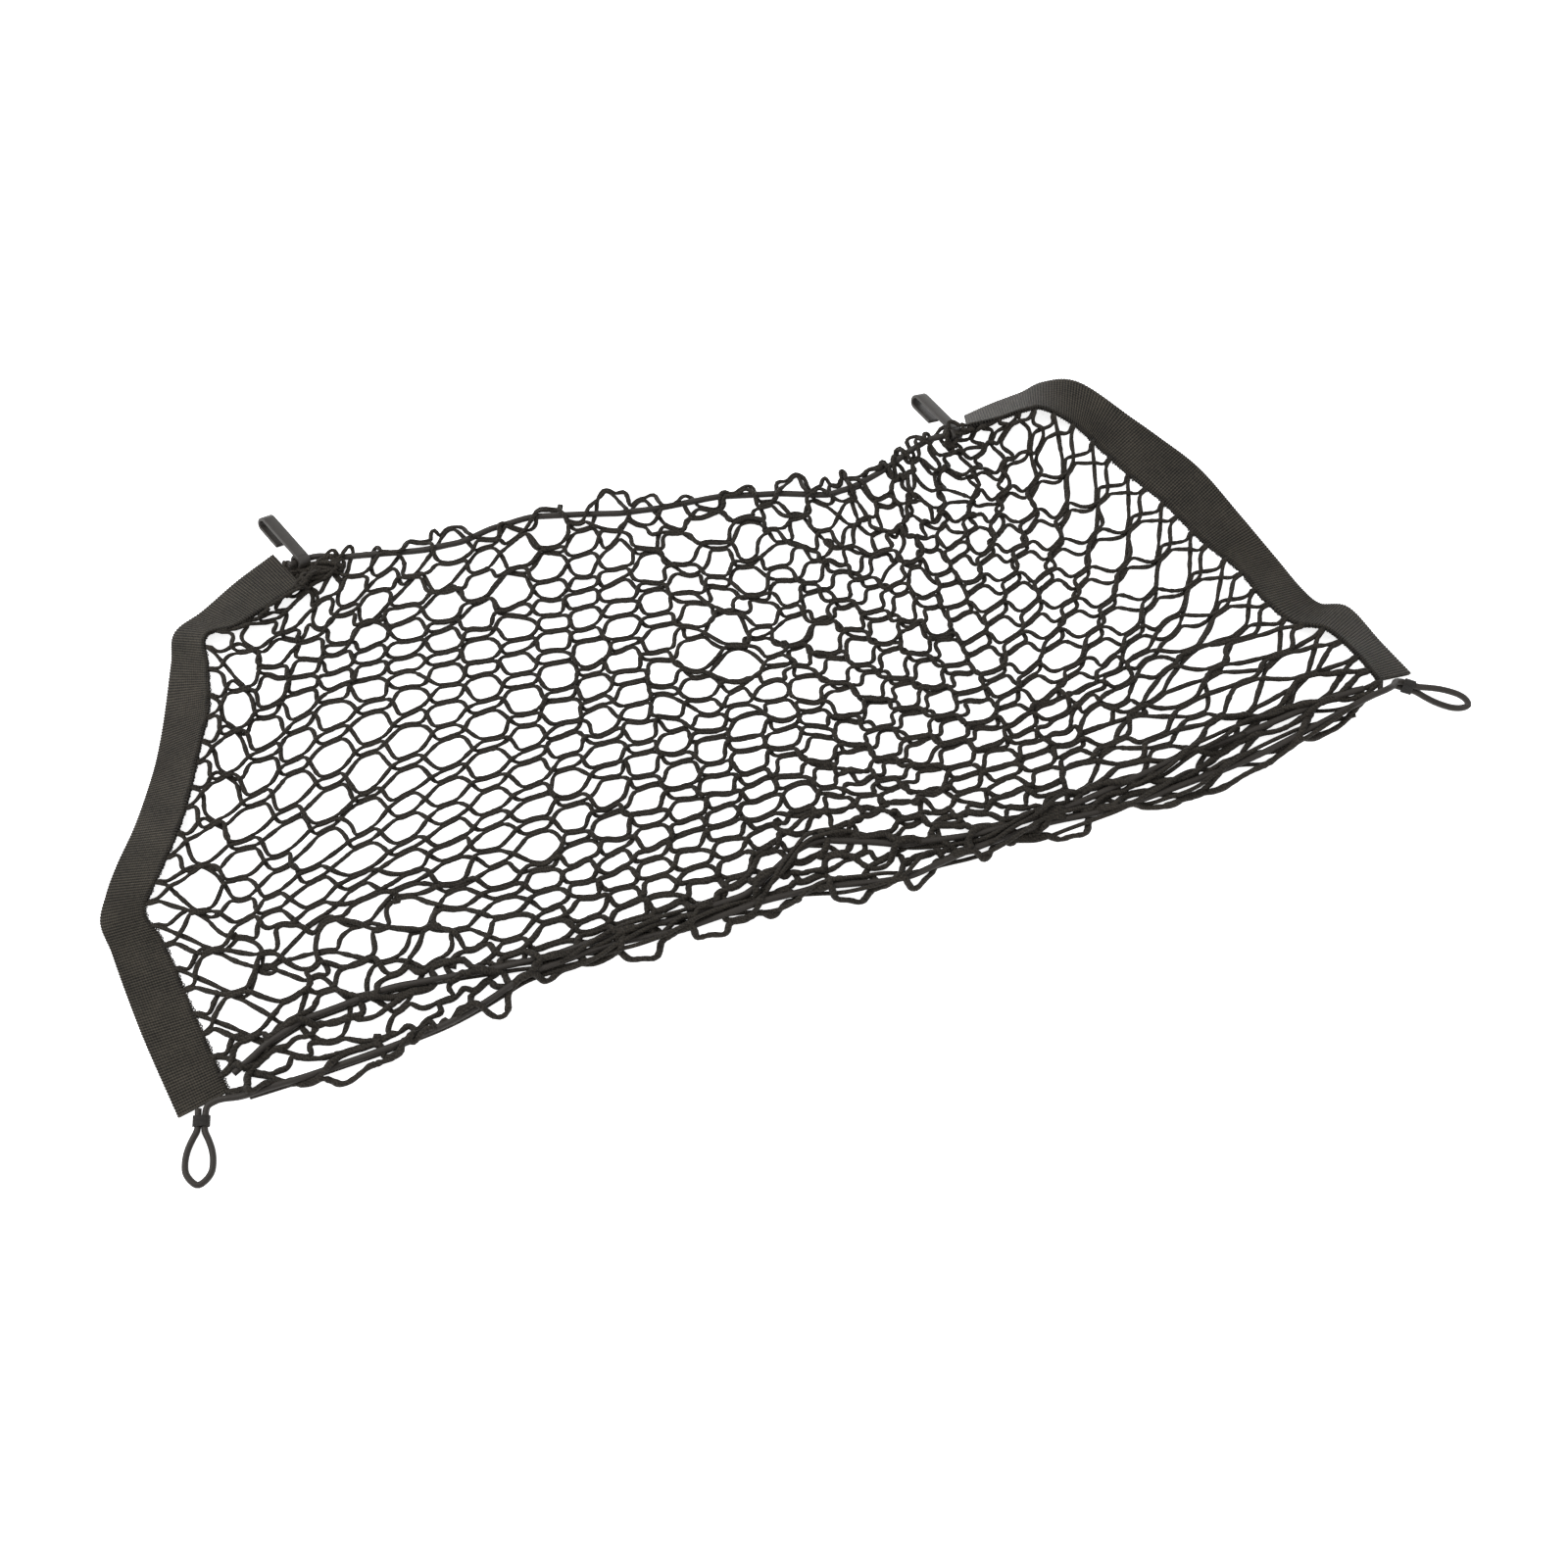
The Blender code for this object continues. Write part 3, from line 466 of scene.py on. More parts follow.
def lay_grid(near_table):
    """Plan place and height of one layer on a grid of rows by columns.

    Each place is straight between the lay table's points, then softened by
    repeated averages of neighbours; the height is the greatest of the tapes'
    raised edges, falling off as a power of the distance, and the standing folds,
    a sine hump along and a ridge across.
    """
    rows = np.arange(-BEFORE, WITHIN + PAST + 1) * (1 / ROW_LINES)
    cols = np.arange(COLUMNS * COLUMN_LINES + 1) * (1 / COLUMN_LINES)
    lay_rows = sorted(LAY)
    lines = np.array([[np.interp(rows, lay_rows, [LAY[r][k][axis] for r in lay_rows])
                       for axis in range(2)] for k in range(len(LAY_COLUMNS))]).transpose(2, 0, 1)
    near_x = column_of(NEAR_COLUMNS_X, np.array(LAY_COLUMNS))
    near = np.column_stack([near_x, column_of(near_table, near_x)])
    share = np.clip((rows - lay_rows[-1]) / (TAPE_ROWS - lay_rows[-1]), 0, 1)[:, None, None]
    lines = lines * (1 - share) + near * share
    edges = []
    for table in (TAPE_LEFT, TAPE_RIGHT):
        inner, outer = tape_edges(table, rows)
        edges.append((inner + unit(inner - outer) * TAPE_GAP)[:, None, :2])
    knots = np.array([0] + LAY_COLUMNS + [COLUMNS], dtype=float)
    points = np.concatenate([edges[0], lines, edges[1]], axis=1)
    grid = np.stack([[np.interp(cols, knots, line[:, axis]) for line in points] for axis in range(2)],
                    axis=-1)
    net = grid[BEFORE:BEFORE + WITHIN + 1]
    rounds, down_rows, along_columns = 420, 0.24, 0.05
    for _ in range(rounds):
        inner = net[1:-1, 1:-1]
        net[1:-1, 1:-1] = (inner + down_rows * (net[2:, 1:-1] + net[:-2, 1:-1] - 2 * inner)
                           + along_columns * (net[1:-1, 2:] + net[1:-1, :-2] - 2 * inner))
    # past the two edges the net stands out by more or less from mesh to mesh
    wild = np.random.default_rng(7)
    for edge, beyond, outward, (reach, least, spread) in (
            (BEFORE, slice(0, BEFORE), 1, FAR_OUT),
            (BEFORE + WITHIN, slice(BEFORE + WITHIN + 1, None), -1, NEAR_OUT)):
        mesh = np.arange(COLUMNS + 1) + 0.5 * wild.random(COLUMNS + 1)
        loose = np.interp(cols, mesh, least + spread * wild.random(COLUMNS + 1) ** 1.6)
        run = unit(np.gradient(grid[edge], axis=0))
        out = outward * np.column_stack([-run[:, 1], run[:, 0]])
        away = np.abs(rows[beyond, None, None] - rows[edge])
        grid[beyond] = grid[edge] + out * (away * reach * loose[None, :, None])
    r, c = np.meshgrid(rows, cols, indexing="ij")
    height = raised_edges(np.clip(r, 0, TAPE_ROWS), c)
    for c0, c1, r0, r1, tall, half in FOLDS:
        u = np.clip((r - r0) / (r1 - r0), 0, 1)
        away = np.abs(c - (c0 + (c1 - c0) * u)) / half
        height = np.maximum(height, tall * np.sin(math.pi * u) ** 0.6 * np.clip(1 - away / 1.5, 0, 1))
    # the far cord lifts the first two rows
    lift = np.maximum(0, column_of(FAR_HEIGHT, column_of(FAR_COLUMNS_X, c)) - FAR_REST)
    height = np.maximum(height, lift * np.clip(1 - r / 2, 0, 1))
    rounds, all_ways = 10, 0.12
    for _ in range(rounds):
        inner = height[1:-1, 1:-1]
        height[1:-1, 1:-1] = inner + all_ways * (height[2:, 1:-1] + height[:-2, 1:-1] + height[1:-1, 2:]
                                                 + height[1:-1, :-2] - 4 * inner)
    return np.concatenate([grid, height[..., None]], axis=-1)


def read_grid(grid, row, col):
    """A lay grid read between its points, straight along both ways."""
    r = np.clip((row + BEFORE / ROW_LINES) * ROW_LINES, 0, grid.shape[0] - 1.001)
    c = np.clip(col * COLUMN_LINES, 0, grid.shape[1] - 1.001)
    i, j = r.astype(int), c.astype(int)
    fr, fc = (r - i)[..., None], (c - j)[..., None]
    return ((grid[i, j] * (1 - fr) + grid[i + 1, j] * fr) * (1 - fc)
            + (grid[i, j + 1] * (1 - fr) + grid[i + 1, j + 1] * fr) * fc)


def soft_noise(rng, a, b, count, low, high):
    """Smooth random field: a sum of count waves in a and b, about 1 in size."""
    total = np.zeros_like(a)
    for _ in range(count):
        ka, kb = rng.normal(0, 1, 2)
        scale = rng.uniform(low, high) / math.hypot(ka, kb)
        total += np.sin((a * ka + b * kb) * scale * 2 * math.pi + rng.uniform(0, 2 * math.pi))
    return total * math.sqrt(2.0 / count)


STEPS = 8                     # places on one side of a mesh
PER_COLUMN = 2 * STEPS


def chain_places(chains):
    """Columns and rows of every place on every yarn, counted from the far cord.

    A yarn runs the length of the net as a zigzag. It shares a side with the yarn
    above, slants down for half a mesh, shares the next side with the yarn below,
    and so on: column piecewise straight, row k/2 plus or minus a quarter.
    """
    places = COLUMNS * PER_COLUMN + 1
    m = np.arange(places)
    side = np.arange(COLUMNS + 1)
    knots = np.add.outer(side * PER_COLUMN, (-STEPS / 2, STEPS / 2)).ravel()
    col = np.interp(m, knots, np.add.outer(side, (-1 / 3, 1 / 3)).ravel())
    swing = np.interp(m, knots, np.repeat(np.where(side % 2 == 0, 1.0, -1.0), 2))
    k = np.array(chains)[:, None]
    blend = swing[None] * np.where(k % 2 == 0, 1.0, -1.0)
    row = k / 2 + 0.25 * blend
    nearest = np.round(m / PER_COLUMN).astype(int)
    on_side = np.abs(m - nearest * PER_COLUMN) <= STEPS // 2 - 1
    shared = on_side[None] & ((nearest[None] + k) % 2 == 0)
    return np.broadcast_to(col, row.shape).copy(), row, shared, blend


def relax(target, shared, length, hold, rounds):
    """Yarns of a set length find their lay.

    Each round pulls every place a little to its target, straightens bends a
    little, sets each step of a yarn nearer its length, and brings the two yarns
    of a shared side together. length is yarn, step, 1; hold, the pull to the
    target, is yarn, place.
    """
    rises, stiff = 0.3, 0.055
    p = target.copy()
    bend = np.zeros_like(p)
    pair = shared[:-1]
    start, end = target[:, 0].copy(), target[:, -1].copy()
    for _ in range(rounds):
        p += hold[..., None] * (target - p)
        p[..., 2] += rises * (target[..., 2] - p[..., 2])
        bend[:, 1:-1] = p[:, 2:] + p[:, :-2] - 2 * p[:, 1:-1]
        p[:, 1:-1] -= stiff * (bend[:, 2:] + bend[:, :-2] - 2 * bend[:, 1:-1])
        for first in (0, 1):
            a, b = p[:, first:-1:2], p[:, first + 1::2]
            n = min(a.shape[1], b.shape[1])
            d = b[:, :n] - a[:, :n]
            size = np.maximum(np.linalg.norm(d, axis=-1, keepdims=True), 1e-6)
            pull = 0.5 * (size - length[:, first:first + 2 * n:2]) / size * d
            p[:, first:first + 2 * n:2] += pull
            p[:, first + 1:first + 1 + 2 * n:2] -= pull
        mean = 0.5 * (p[:-1] + p[1:])
        p[:-1][pair] = mean[pair]
        p[1:][pair] = mean[pair]
        p[:, 0], p[:, -1] = start, end
    ease_bends(p, 2)
    return p


# Side of a height map's cell, its corner and its cells along x and y.
CELL, MAP_CORNER, MAP_CELLS = 1.2, (-560.0, -300.0), (940, 480)


class HeightMap:
    """Highest surface so far over the plan, on a square grid of cells."""

    def __init__(self):
        self.top = np.full(MAP_CELLS, -10.0)

    def cell(self, xy):
        at = ((xy - np.array(MAP_CORNER)) / CELL).astype(int)
        return [np.clip(at[..., k], 1, MAP_CELLS[k] - 2) for k in range(2)]

    def add(self, points, radius, reach):
        """Lay points of a round strand: each cell within reach rises to its top."""
        i, j = self.cell(points[..., :2])
        for di in range(-reach, reach + 1):
            for dj in range(-reach, reach + 1):
                away = math.hypot(di, dj) * CELL / (radius + CELL)
                drop = radius * (1 - math.sqrt(max(0.0, 1 - away ** 2)))
                np.maximum.at(self.top, (i + di, j + dj), points[..., 2] + radius - drop)

    def read(self, points):
        i, j = self.cell(points[..., :2])
        return self.top[i, j]


def drape(p, floor, shared, rounds=14):
    """Heights that rest on floor, a height for every place, and stay smooth:
    repeated averages along the yarn, never below the floor."""
    z = np.maximum(p[..., 2], floor)
    pair = shared[:-1]
    for _ in range(rounds):
        z[:, 1:-1] = np.maximum(floor[:, 1:-1], 0.5 * z[:, 1:-1] + 0.25 * (z[:, 2:] + z[:, :-2]))
        mean = np.maximum(z[:-1], z[1:])
        z[:-1][pair] = mean[pair]
        z[1:][pair] = mean[pair]
    return z


def near_cord_path(table, lo=0.2, hi=29.81, step=0.5, drop=None):
    """Middle of a near cord from column lo to column hi: the near line's plan and
    the height above it, less drop, a pair of columns and millimetres."""
    c = np.arange(lo, hi, step)
    x = column_of(NEAR_COLUMNS_X, c)
    z = FLOOR_MID + raised_edges(TAPE_ROWS, c) + CORD_LIFT
    if drop is not None:
        z = z - np.interp(c, *drop)
    return np.column_stack([x, column_of(table, x), z])


def far_cord_route():
    """Far cord: out of the left hook's eye, inside the fold, into the right hook's eye."""
    # each eye is passed along the hook's width, by millimetres from its middle
    left, right = [[np.array(hook["eye"]) + hook_axes(hook)[2] * k for k in places]
                   for hook, places in ((HOOK_LEFT, (-11, -7, 0, 7)), (HOOK_RIGHT, (-7, 0, 7)))]
    x = np.linspace(-273, 213, 55)
    middle = np.column_stack([x, column_of(FAR_CORD, x), column_of(FAR_HEIGHT, x)])
    return np.concatenate([left, middle, [(219.5, 116.9, 20.2)], right, [(242.5, 120.0, 12.5)]])


def teardrop(loop):
    """Cord loop from its neck round the tip and back, with its run and side ways."""
    neck, tip = np.array(loop["neck"]), np.array(loop["tip"])
    length = np.linalg.norm(tip - neck)
    run = (tip - neck) / length
    flat = unit(np.cross([0, 0, 1.0], run))
    roll = math.radians(loop["roll"])
    side = flat * math.cos(roll) + np.cross(run, flat) * math.sin(roll)
    pair = CORD_R + LEG_GAP
    wide = loop["width"] / 2 - pair
    there, back = [[neck + run * length * reach + way * side * (pair + wide * spread)
                    for reach, spread in LOOP_SHAPE] for way in (1, -1)]
    return np.array(there + [tip] + back[::-1]), run, side


def near_lower_route():
    """Near lower cord: left loop, the near line, right loop."""
    left, run = teardrop(LOOP_LEFT)[:2]
    right, run_right = teardrop(LOOP_RIGHT)[:2]
    middle = near_cord_path(NEAR_LOWER, 0.2, 29.9, 0.8, ([1.2, 2.0, 5.2, 6.2], [0, 2, 2, 0]))
    return np.concatenate([[left[0] - run * 9.0], left, [left[-1] - run * 5.5],
                           [(-477.3, -199.2, 4.9), (-471.5, -198.0, 5.6)], middle,
                           [(454.0, -211.5, 23.6), (461.0, -208.8, 19.5), (465.0, -205.6, 16.0)],
                           [right[0] - run_right * 6.0], right, [right[-1] - run_right * 9.0]])


def hook_axes(hook):
    """Long, depth and width directions of a hook."""
    pitch, roll = math.radians(hook["pitch"]), math.radians(hook["roll"])
    hx, hy = hook["heading"]
    run = unit(np.array([hx * math.cos(pitch), hy * math.cos(pitch), math.sin(pitch)]))
    down = np.array([0, 0, -1.0])
    down = unit(down - run * down.dot(run))
    left = np.cross(down, run)
    left = -left if left[0] > 0 else left
    depth = down * math.cos(roll) + left * math.sin(roll)
    width = np.cross(depth, run)
    return run, depth, -width if width[0] < 0 else width


# ------------------------------------------------------------------ the stage
class CARGO_NET_OT_stage(bpy.types.Operator):
    """Camera at the photograph's angle, a pale floor and soft light."""
    bl_idname = "cargo_net.stage"
    bl_label = "Stage"

    def execute(self, context):
        scene = context.scene
        data = bpy.data.cameras.new("photo_camera")
        data.sensor_width = 36.0
        data.lens = 58.5
        data.clip_start, data.clip_end = 0.05, 50.0
        camera = bpy.data.objects.new("photo_camera", data)
        camera.location = [v * 0.001 for v in STAND_AT]
        aim = Vector(LOOK_AT) * 0.001 - camera.location
        camera.rotation_euler = aim.to_track_quat("-Z", "Y").to_euler()
        scene.collection.objects.link(camera)
        scene.camera = camera
        floor_mesh = bpy.data.meshes.new("floor")
        half, low = 9, -0.0004
        corners = [(x * half, y * half, low) for x, y in ((-1, -1), (1, -1), (1, 1), (-1, 1))]
        floor_mesh.from_pydata(corners, [], [(0, 1, 2, 3)])
        floor = bpy.data.objects.new("floor", floor_mesh)
        scene.collection.objects.link(floor)
        white = (1.0, 1.0, 1.0, 1.0)
        floor_mesh.materials.append(blank(
            "pale_floor", Base_Color=(0.9, 0.9, 0.9, 1.0), Roughness=0.9, Specular_IOR_Level=0.1,
            Emission_Color=white, Emission_Strength=0.75)[0])
        world = bpy.data.worlds.new("studio")
        world.use_nodes = True
        world.node_tree.nodes["Background"].inputs["Color"].default_value = white
        world.node_tree.nodes["Background"].inputs["Strength"].default_value = 1.0
        scene.world = world
        for name, spot, size, power in (("key", (-1.6, 1.4, 2.2), 1.2, 70.0),
                                        ("fill", (2.0, -1.4, 2.4), 2.0, 15.0)):
            light = bpy.data.lights.new(name, "AREA")
            light.size, light.energy = size, power
            lamp = bpy.data.objects.new(name, light)
            lamp.location = spot
            lamp.rotation_euler = (-Vector(spot)).to_track_quat("-Z", "Y").to_euler()
            scene.collection.objects.link(lamp)
        scene.view_settings.view_transform = "Standard"
        return {"FINISHED"}


# ------------------------------------------------------------------ cords
def cord_piece(name, route, nodes, mat, sides=14, step=2.0):
    """Cord along a route: a circle of the cord's radius carried on a smooth curve."""
    path = even_path(route, step)[None]
    mesh = tube_mesh(name, path, np.full(path.shape[:2], CORD_R), sides)
    return place(name, mesh, mat, nodes), path[0]


class CARGO_NET_OT_cords(bpy.types.Operator):
    """Three elastic cords: one in the far fold, two along the near edges."""
    bl_idname = "cargo_net.cords"
    bl_label = "Cords"

    def execute(self, context):
        mat = sheath_material(paint(context, "sheath"))
        routes = (("cord_far_sheath", far_cord_route(), "cord_far"),
                  ("cord_near_upper_sheath", near_cord_path(NEAR_UPPER), "cord_near_upper"),
                  ("cord_near_lower_sheath", near_lower_route(), "cord_near_lower"))
        for name, route, replaced in routes:
            piece, path = cord_piece(name, route, (replaced,), mat)
        return {"FINISHED"}


class CARGO_NET_OT_bindings(bpy.types.Operator):
    """Thread wound round both legs of each cord loop at its neck."""
    bl_idname = "cargo_net.bindings"
    bl_label = "Bindings"

    def execute(self, context):
        mat = whipping_material(linear("#23211F"))
        for name, loop in (("binding_left", LOOP_LEFT), ("binding_right", LOOP_RIGHT)):
            run, side = teardrop(loop)[1:]
            t = np.linspace(0, BINDING_TURNS, BINDING_TURNS * 40 + 1)
            angle = t * 2 * math.pi
            pair, reach = CORD_R + LEG_GAP, CORD_R + 2 * LEG_GAP + BINDING_THREAD
            # an oval: a circle about each leg joined by straight sides, wound as a helix
            u = pair * np.tanh(4 * np.cos(angle)) + reach * np.cos(angle)
            v = reach * np.sin(angle)
            w = (t / BINDING_TURNS - 0.5) * (BINDING_LENGTH - 2 * BINDING_THREAD)
            path = (np.array(loop["neck"]) + u[:, None] * side + v[:, None] * np.cross(run, side)
                    + w[:, None] * run)[None]
            mesh = tube_mesh(name, path, np.full(path.shape[:2], BINDING_THREAD), 8)
            place(name + "_thread", mesh, mat, (name,))
        return {"FINISHED"}


# ------------------------------------------------------------------ the net
def layer_mapping(row):
    """Lay row of a yarn's row: the fold stands past the far cord, and the last
    rows crowd on the near cord."""
    return np.interp(np.abs(row), [0, ROWS - 1, ROWS + 0.25], [-0.4, 13.35, 14.55])


def laid_yarns(strand_r, edge, rough, rounds):
    """Middles of all the yarns as they lie; with them each place's swing, from
    beside the yarn above (1) to beside the yarn below (-1), and the yarns' numbers."""
    rng = np.random.default_rng(41)
    chains = np.arange(-2 * ROWS, 2 * ROWS + 1)
    col, row, shared, blend = chain_places(chains)
    upper_grid, lower_grid = lay_grid(NEAR_UPPER), lay_grid(NEAR_LOWER)
    way = np.where(row >= 0, 1.0, -1.0)[..., None]
    inside = np.clip(col / 1.5, 0, 1) * np.clip((COLUMNS - col) / 1.5, 0, 1)
    # the fold wanders across the first rows, so that no two of its loops are alike
    knots, astray, fades_by = 19, 0.62, 3.5
    drift = np.random.default_rng(23).uniform(-astray, astray, knots)
    wander = np.interp(col, np.linspace(0, COLUMNS, knots), drift)
    row = row + wander * np.clip(1 - np.abs(row) / fades_by, 0, 1) * inside
    upper = row >= 0
    lay_row = layer_mapping(row)
    top = read_grid(upper_grid, lay_row, col)
    # the fold sets the lower layer half a row off the upper one; it slid on by
    # another half row and a part of a mesh
    fade = (inside * np.clip(np.abs(row) / 1.5, 0, 1)
            * np.clip((ROWS - 0.5 - np.abs(row)) / 1.5, 0, 1))
    low = read_grid(lower_grid, layer_mapping(np.abs(row) + 0.5 * fade), col)
    for axis in range(2):
        low[..., axis] += column_of(LAYER_SLIP, col, axis + 1) * fade
    target = np.where(upper[..., None], top, low)
    calm = 0.4
    tangle = np.full(col.shape, calm)
    for c, r, wide, deep, strength in TANGLES:
        tangle += strength * np.exp(-((col - c) / wide) ** 2 - ((lay_row - r) / deep) ** 2)
    # each side lies a little off its even place, alone and with its neighbours
    at = np.arange(col.shape[1]) / PER_COLUMN
    i = np.minimum(at.astype(int), COLUMNS - 1)
    for axis in range(2):
        alone = rng.normal(0, 1, (len(chains), COLUMNS + 1))
        alone = alone[:, i] * (1 - at + i) + alone[:, i + 1] * (at - i)
        field = soft_noise(rng, col, np.abs(row), 24, 0.08, 0.25)
        target[..., axis] += (alone + 0.5 * field) * rough * tangle * inside
    jitter = rng.normal(0, 1, target.shape[:2] + (2,))
    soften(jitter, 3)
    begin = target.copy()
    begin[..., :2] += jitter * 1.2 * inside[..., None]
    begin[..., 2] += FLOOR_MID
    # a side's middle is held to its place, and the rest of the yarn hardly
    held, free = 0.04, 0.003
    hold = np.where(np.arange(row.shape[1]) % PER_COLUMN == 0, held, free)
    # a yarn keeps its length, but gathers no more than a sixth beyond its lay
    gather = 1.17
    lay_step = np.linalg.norm(np.diff(target[..., :2], axis=1), axis=-1, keepdims=True)
    soften(lay_step, 8)
    length = np.minimum(edge / STEPS, gather * lay_step)
    p = relax(begin, shared, length, np.broadcast_to(hold, row.shape), rounds)
    height = read_grid(upper_grid, lay_row, col)[..., 2]
    p[..., 2] = pile_heights(p, height, shared, upper, row, strand_r)
    # the two yarns of a shared side lie side by side, the fold's yarns too, each
    # about half a strand off the side's line
    off_line = 0.53
    run = unit(np.gradient(p, axis=1))
    aside = unit(np.stack([run[..., 1], -run[..., 0], np.zeros(run.shape[:2])], axis=-1))
    ease = -np.sin(blend * math.pi / 2)[..., None]
    p = p + aside * way * ease * off_line * strand_r
    p[:, 0], p[:, -1] = tape_ends(lay_row[:, 0], TAPE_LEFT), tape_ends(lay_row[:, -1], TAPE_RIGHT)
    return p, blend, chains


def pile_heights(p, height, shared, upper, row, strand_r):
    """Lower layer on the floor, then the far cord, then the upper layer over both.
    In the last row every second side of each layer goes over its near cord."""
    floor = height + strand_r
    lower = ~upper
    z_low = drape(p * (1, 1, 0), np.where(lower, floor, 0.0), shared, 4)
    pile = HeightMap()
    pile.add(np.concatenate([p[lower][:, :2], z_low[lower][:, None]], axis=1), strand_r, 1)
    pile.add(even_path(far_cord_route(), 1.0), CORD_R, 2)
    rest = np.where(upper, np.maximum(pile.read(p) + strand_r, floor), z_low)
    last_row = np.abs(row) > ROWS - 0.8
    count = np.round(np.arange(row.shape[1]) / PER_COLUMN - 0.5).astype(int)
    for table, layer in ((NEAR_UPPER, upper), (NEAR_LOWER, lower)):
        cord = HeightMap()
        cord.add(even_path(near_cord_path(table), 1.0), CORD_R, 2)
        on_cord = cord.read(p)
        weave = (count % 2 == 0)[None] & layer & last_row & (on_cord > 0)
        rest = np.where(weave, np.maximum(rest, on_cord + strand_r), rest)
    return drape(p * (1, 1, 0), rest, shared)


def selvedge(table, strand_r, seed):
    """Edge yarns of the net matted on a near cord.

    Each follows the cord's middle and winds round it: cord + r (cos a side +
    sin a up). Its angle a grows by a turn in 60 to 200 places, and r swells from
    lying on the cord to a few millimetres off it.
    """
    rng = np.random.default_rng(seed)
    cord = even_path(near_cord_path(table, 0.4, 29.6), 1.0)
    places = np.arange(COLUMNS * PER_COLUMN + 1)
    cord = columns_at(np.linspace(0, len(cord) - 1, len(places)), np.arange(len(cord)), cord)
    run = unit(np.gradient(cord, axis=0))
    side = unit(np.column_stack([run[:, 1], -run[:, 0], np.zeros(len(places))]))
    up = np.cross(side, run)
    # near the left corner the cord lies bare, with its yarns tucked below it
    matted = np.clip((places / PER_COLUMN - 6) / 3, 0, 1)
    count = 34
    knots = np.linspace(0, places[-1], count)
    strands = []
    for apart in (-0.3, 0.3):
        rate = np.interp(places, knots, rng.uniform(0.018, 0.055, count)) * 1.9 * matted
        swell = np.interp(places, knots, np.maximum(0, rng.normal(0.3, 1.1, count))) * matted
        angle = np.cumsum(rate) - math.pi / 2 + apart
        r = (CORD_R + strand_r * EDGE_YARN + 2.0 * swell)[:, None]
        strand = cord + side * np.cos(angle)[:, None] * r * 1.25 + up * np.sin(angle)[:, None] * r
        strand[:, 2] = np.maximum(strand[:, 2], strand_r)
        ease_bends(strand[None], 6)
        strands.append(strand)
    return np.array(strands)


def corner_bunch(strand_r):
    """Yarns bunched between the left tape's far end and the foot of its hook.

    Each goes to and fro along a line, by half a wave of cosine a pass, and strays
    to its sides and upwards by smooth noise, less so where it meets the cord.
    """
    rng = np.random.default_rng(31)
    start, end = np.array(BUNCH_LEFT)
    t = np.linspace(0, 1, COLUMNS * PER_COLUMN + 1)
    passes = 7
    strands = []
    for _ in range(3):
        u = (0.5 - 0.5 * np.cos(t * math.pi * passes))[:, None]
        stray = [soft_noise(rng, t * 30, t * 0, 6, 0.15, 0.5) for _ in range(3)]
        strand = start + (end - start) * u
        strand[:, 0] += 2.5 * stray[0]
        strand[:, 1] += (6.0 - 3.0 * u[:, 0]) * stray[1]
        strand[:, 2] = np.maximum(strand[:, 2] + 1.8 * stray[2], strand_r)
        strands.append(strand)
    return np.array(strands)


def tape_ends(row, table):
    """Ends of the yarns, caught a little way in between the plies of a tape."""
    caught = 2.5
    inner, outer = tape_edges(table, row)
    return inner + unit(outer - inner) * caught


class CARGO_NET_OT_netting(bpy.types.Operator):
    """Both layers of netting, knitted of yarns that zigzag along the net."""
    bl_idname = "cargo_net.netting"
    bl_label = "Netting"

    def execute(self, context):
        sizes = context.scene.cargo_net_sizes
        strand_r = sizes.strand * 500
        mat = netting_material(paint(context, "netting"))
        p, blend, chains = laid_yarns(strand_r, sizes.mesh_edge * 1000, sizes.disorder * 1000,
                                      260)
        slim = 1.0 - 0.2 * np.abs(blend) ** 3
        # lumps where the yarn is knitted tighter or looser
        lumps = 1 + np.random.default_rng(3).normal(0, 0.07, p.shape[:2])
        radius = strand_r * slim * np.clip(lumps, 0.82, 1.18)
        # towards the near cords the yarn is fuller, and the last row of meshes is the heaviest
        fuller = 0.2
        for share in (np.abs(chains) / 8 - 1.9, np.abs(chains) / 2 - (ROWS - 1.6)):
            radius *= 1 + fuller * np.clip(share, 0, 1)[:, None]
        p[..., 2] = np.maximum(p[..., 2], radius)
        upper_extra = selvedge(NEAR_UPPER, strand_r, 5)
        lower_extra = np.concatenate([selvedge(NEAR_LOWER, strand_r, 8), corner_bunch(strand_r)])
        for name, part, extra in (("netting_upper", chains >= 0, upper_extra),
                                  ("netting_lower", chains < 0, lower_extra)):
            paths = np.concatenate([p[part], extra])
            r = np.concatenate([radius[part], np.full(extra.shape[:2], strand_r * EDGE_YARN)])
            piece = place(name, tube_mesh(name, paths, r, 6), mat, ("net",))
        return {"FINISHED"}


# ------------------------------------------------------------------ tapes
def tape_frame(table, step):
    """Inner and outer edges and the upward normal of a tape, a step apart along it."""
    fine = smooth_columns(table, np.linspace(0, TAPE_ROWS, 600))
    run = run_length(0.5 * (fine[:, 0:2] + fine[:, 2:4]))
    at = np.arange(0, run[-1], step)
    cols = columns_at(at, run, fine)
    outer = np.column_stack([cols[:, 0:2], np.full(len(at), TAPE_HALF)])
    inner = np.column_stack([cols[:, 2:4], np.maximum(cols[:, 4], TAPE_HALF)])
    normal = unit(np.cross(np.gradient(0.5 * (inner + outer), axis=0), outer - inner))
    normal[normal[:, 2] < 0] *= -1
    return inner, outer, normal, at


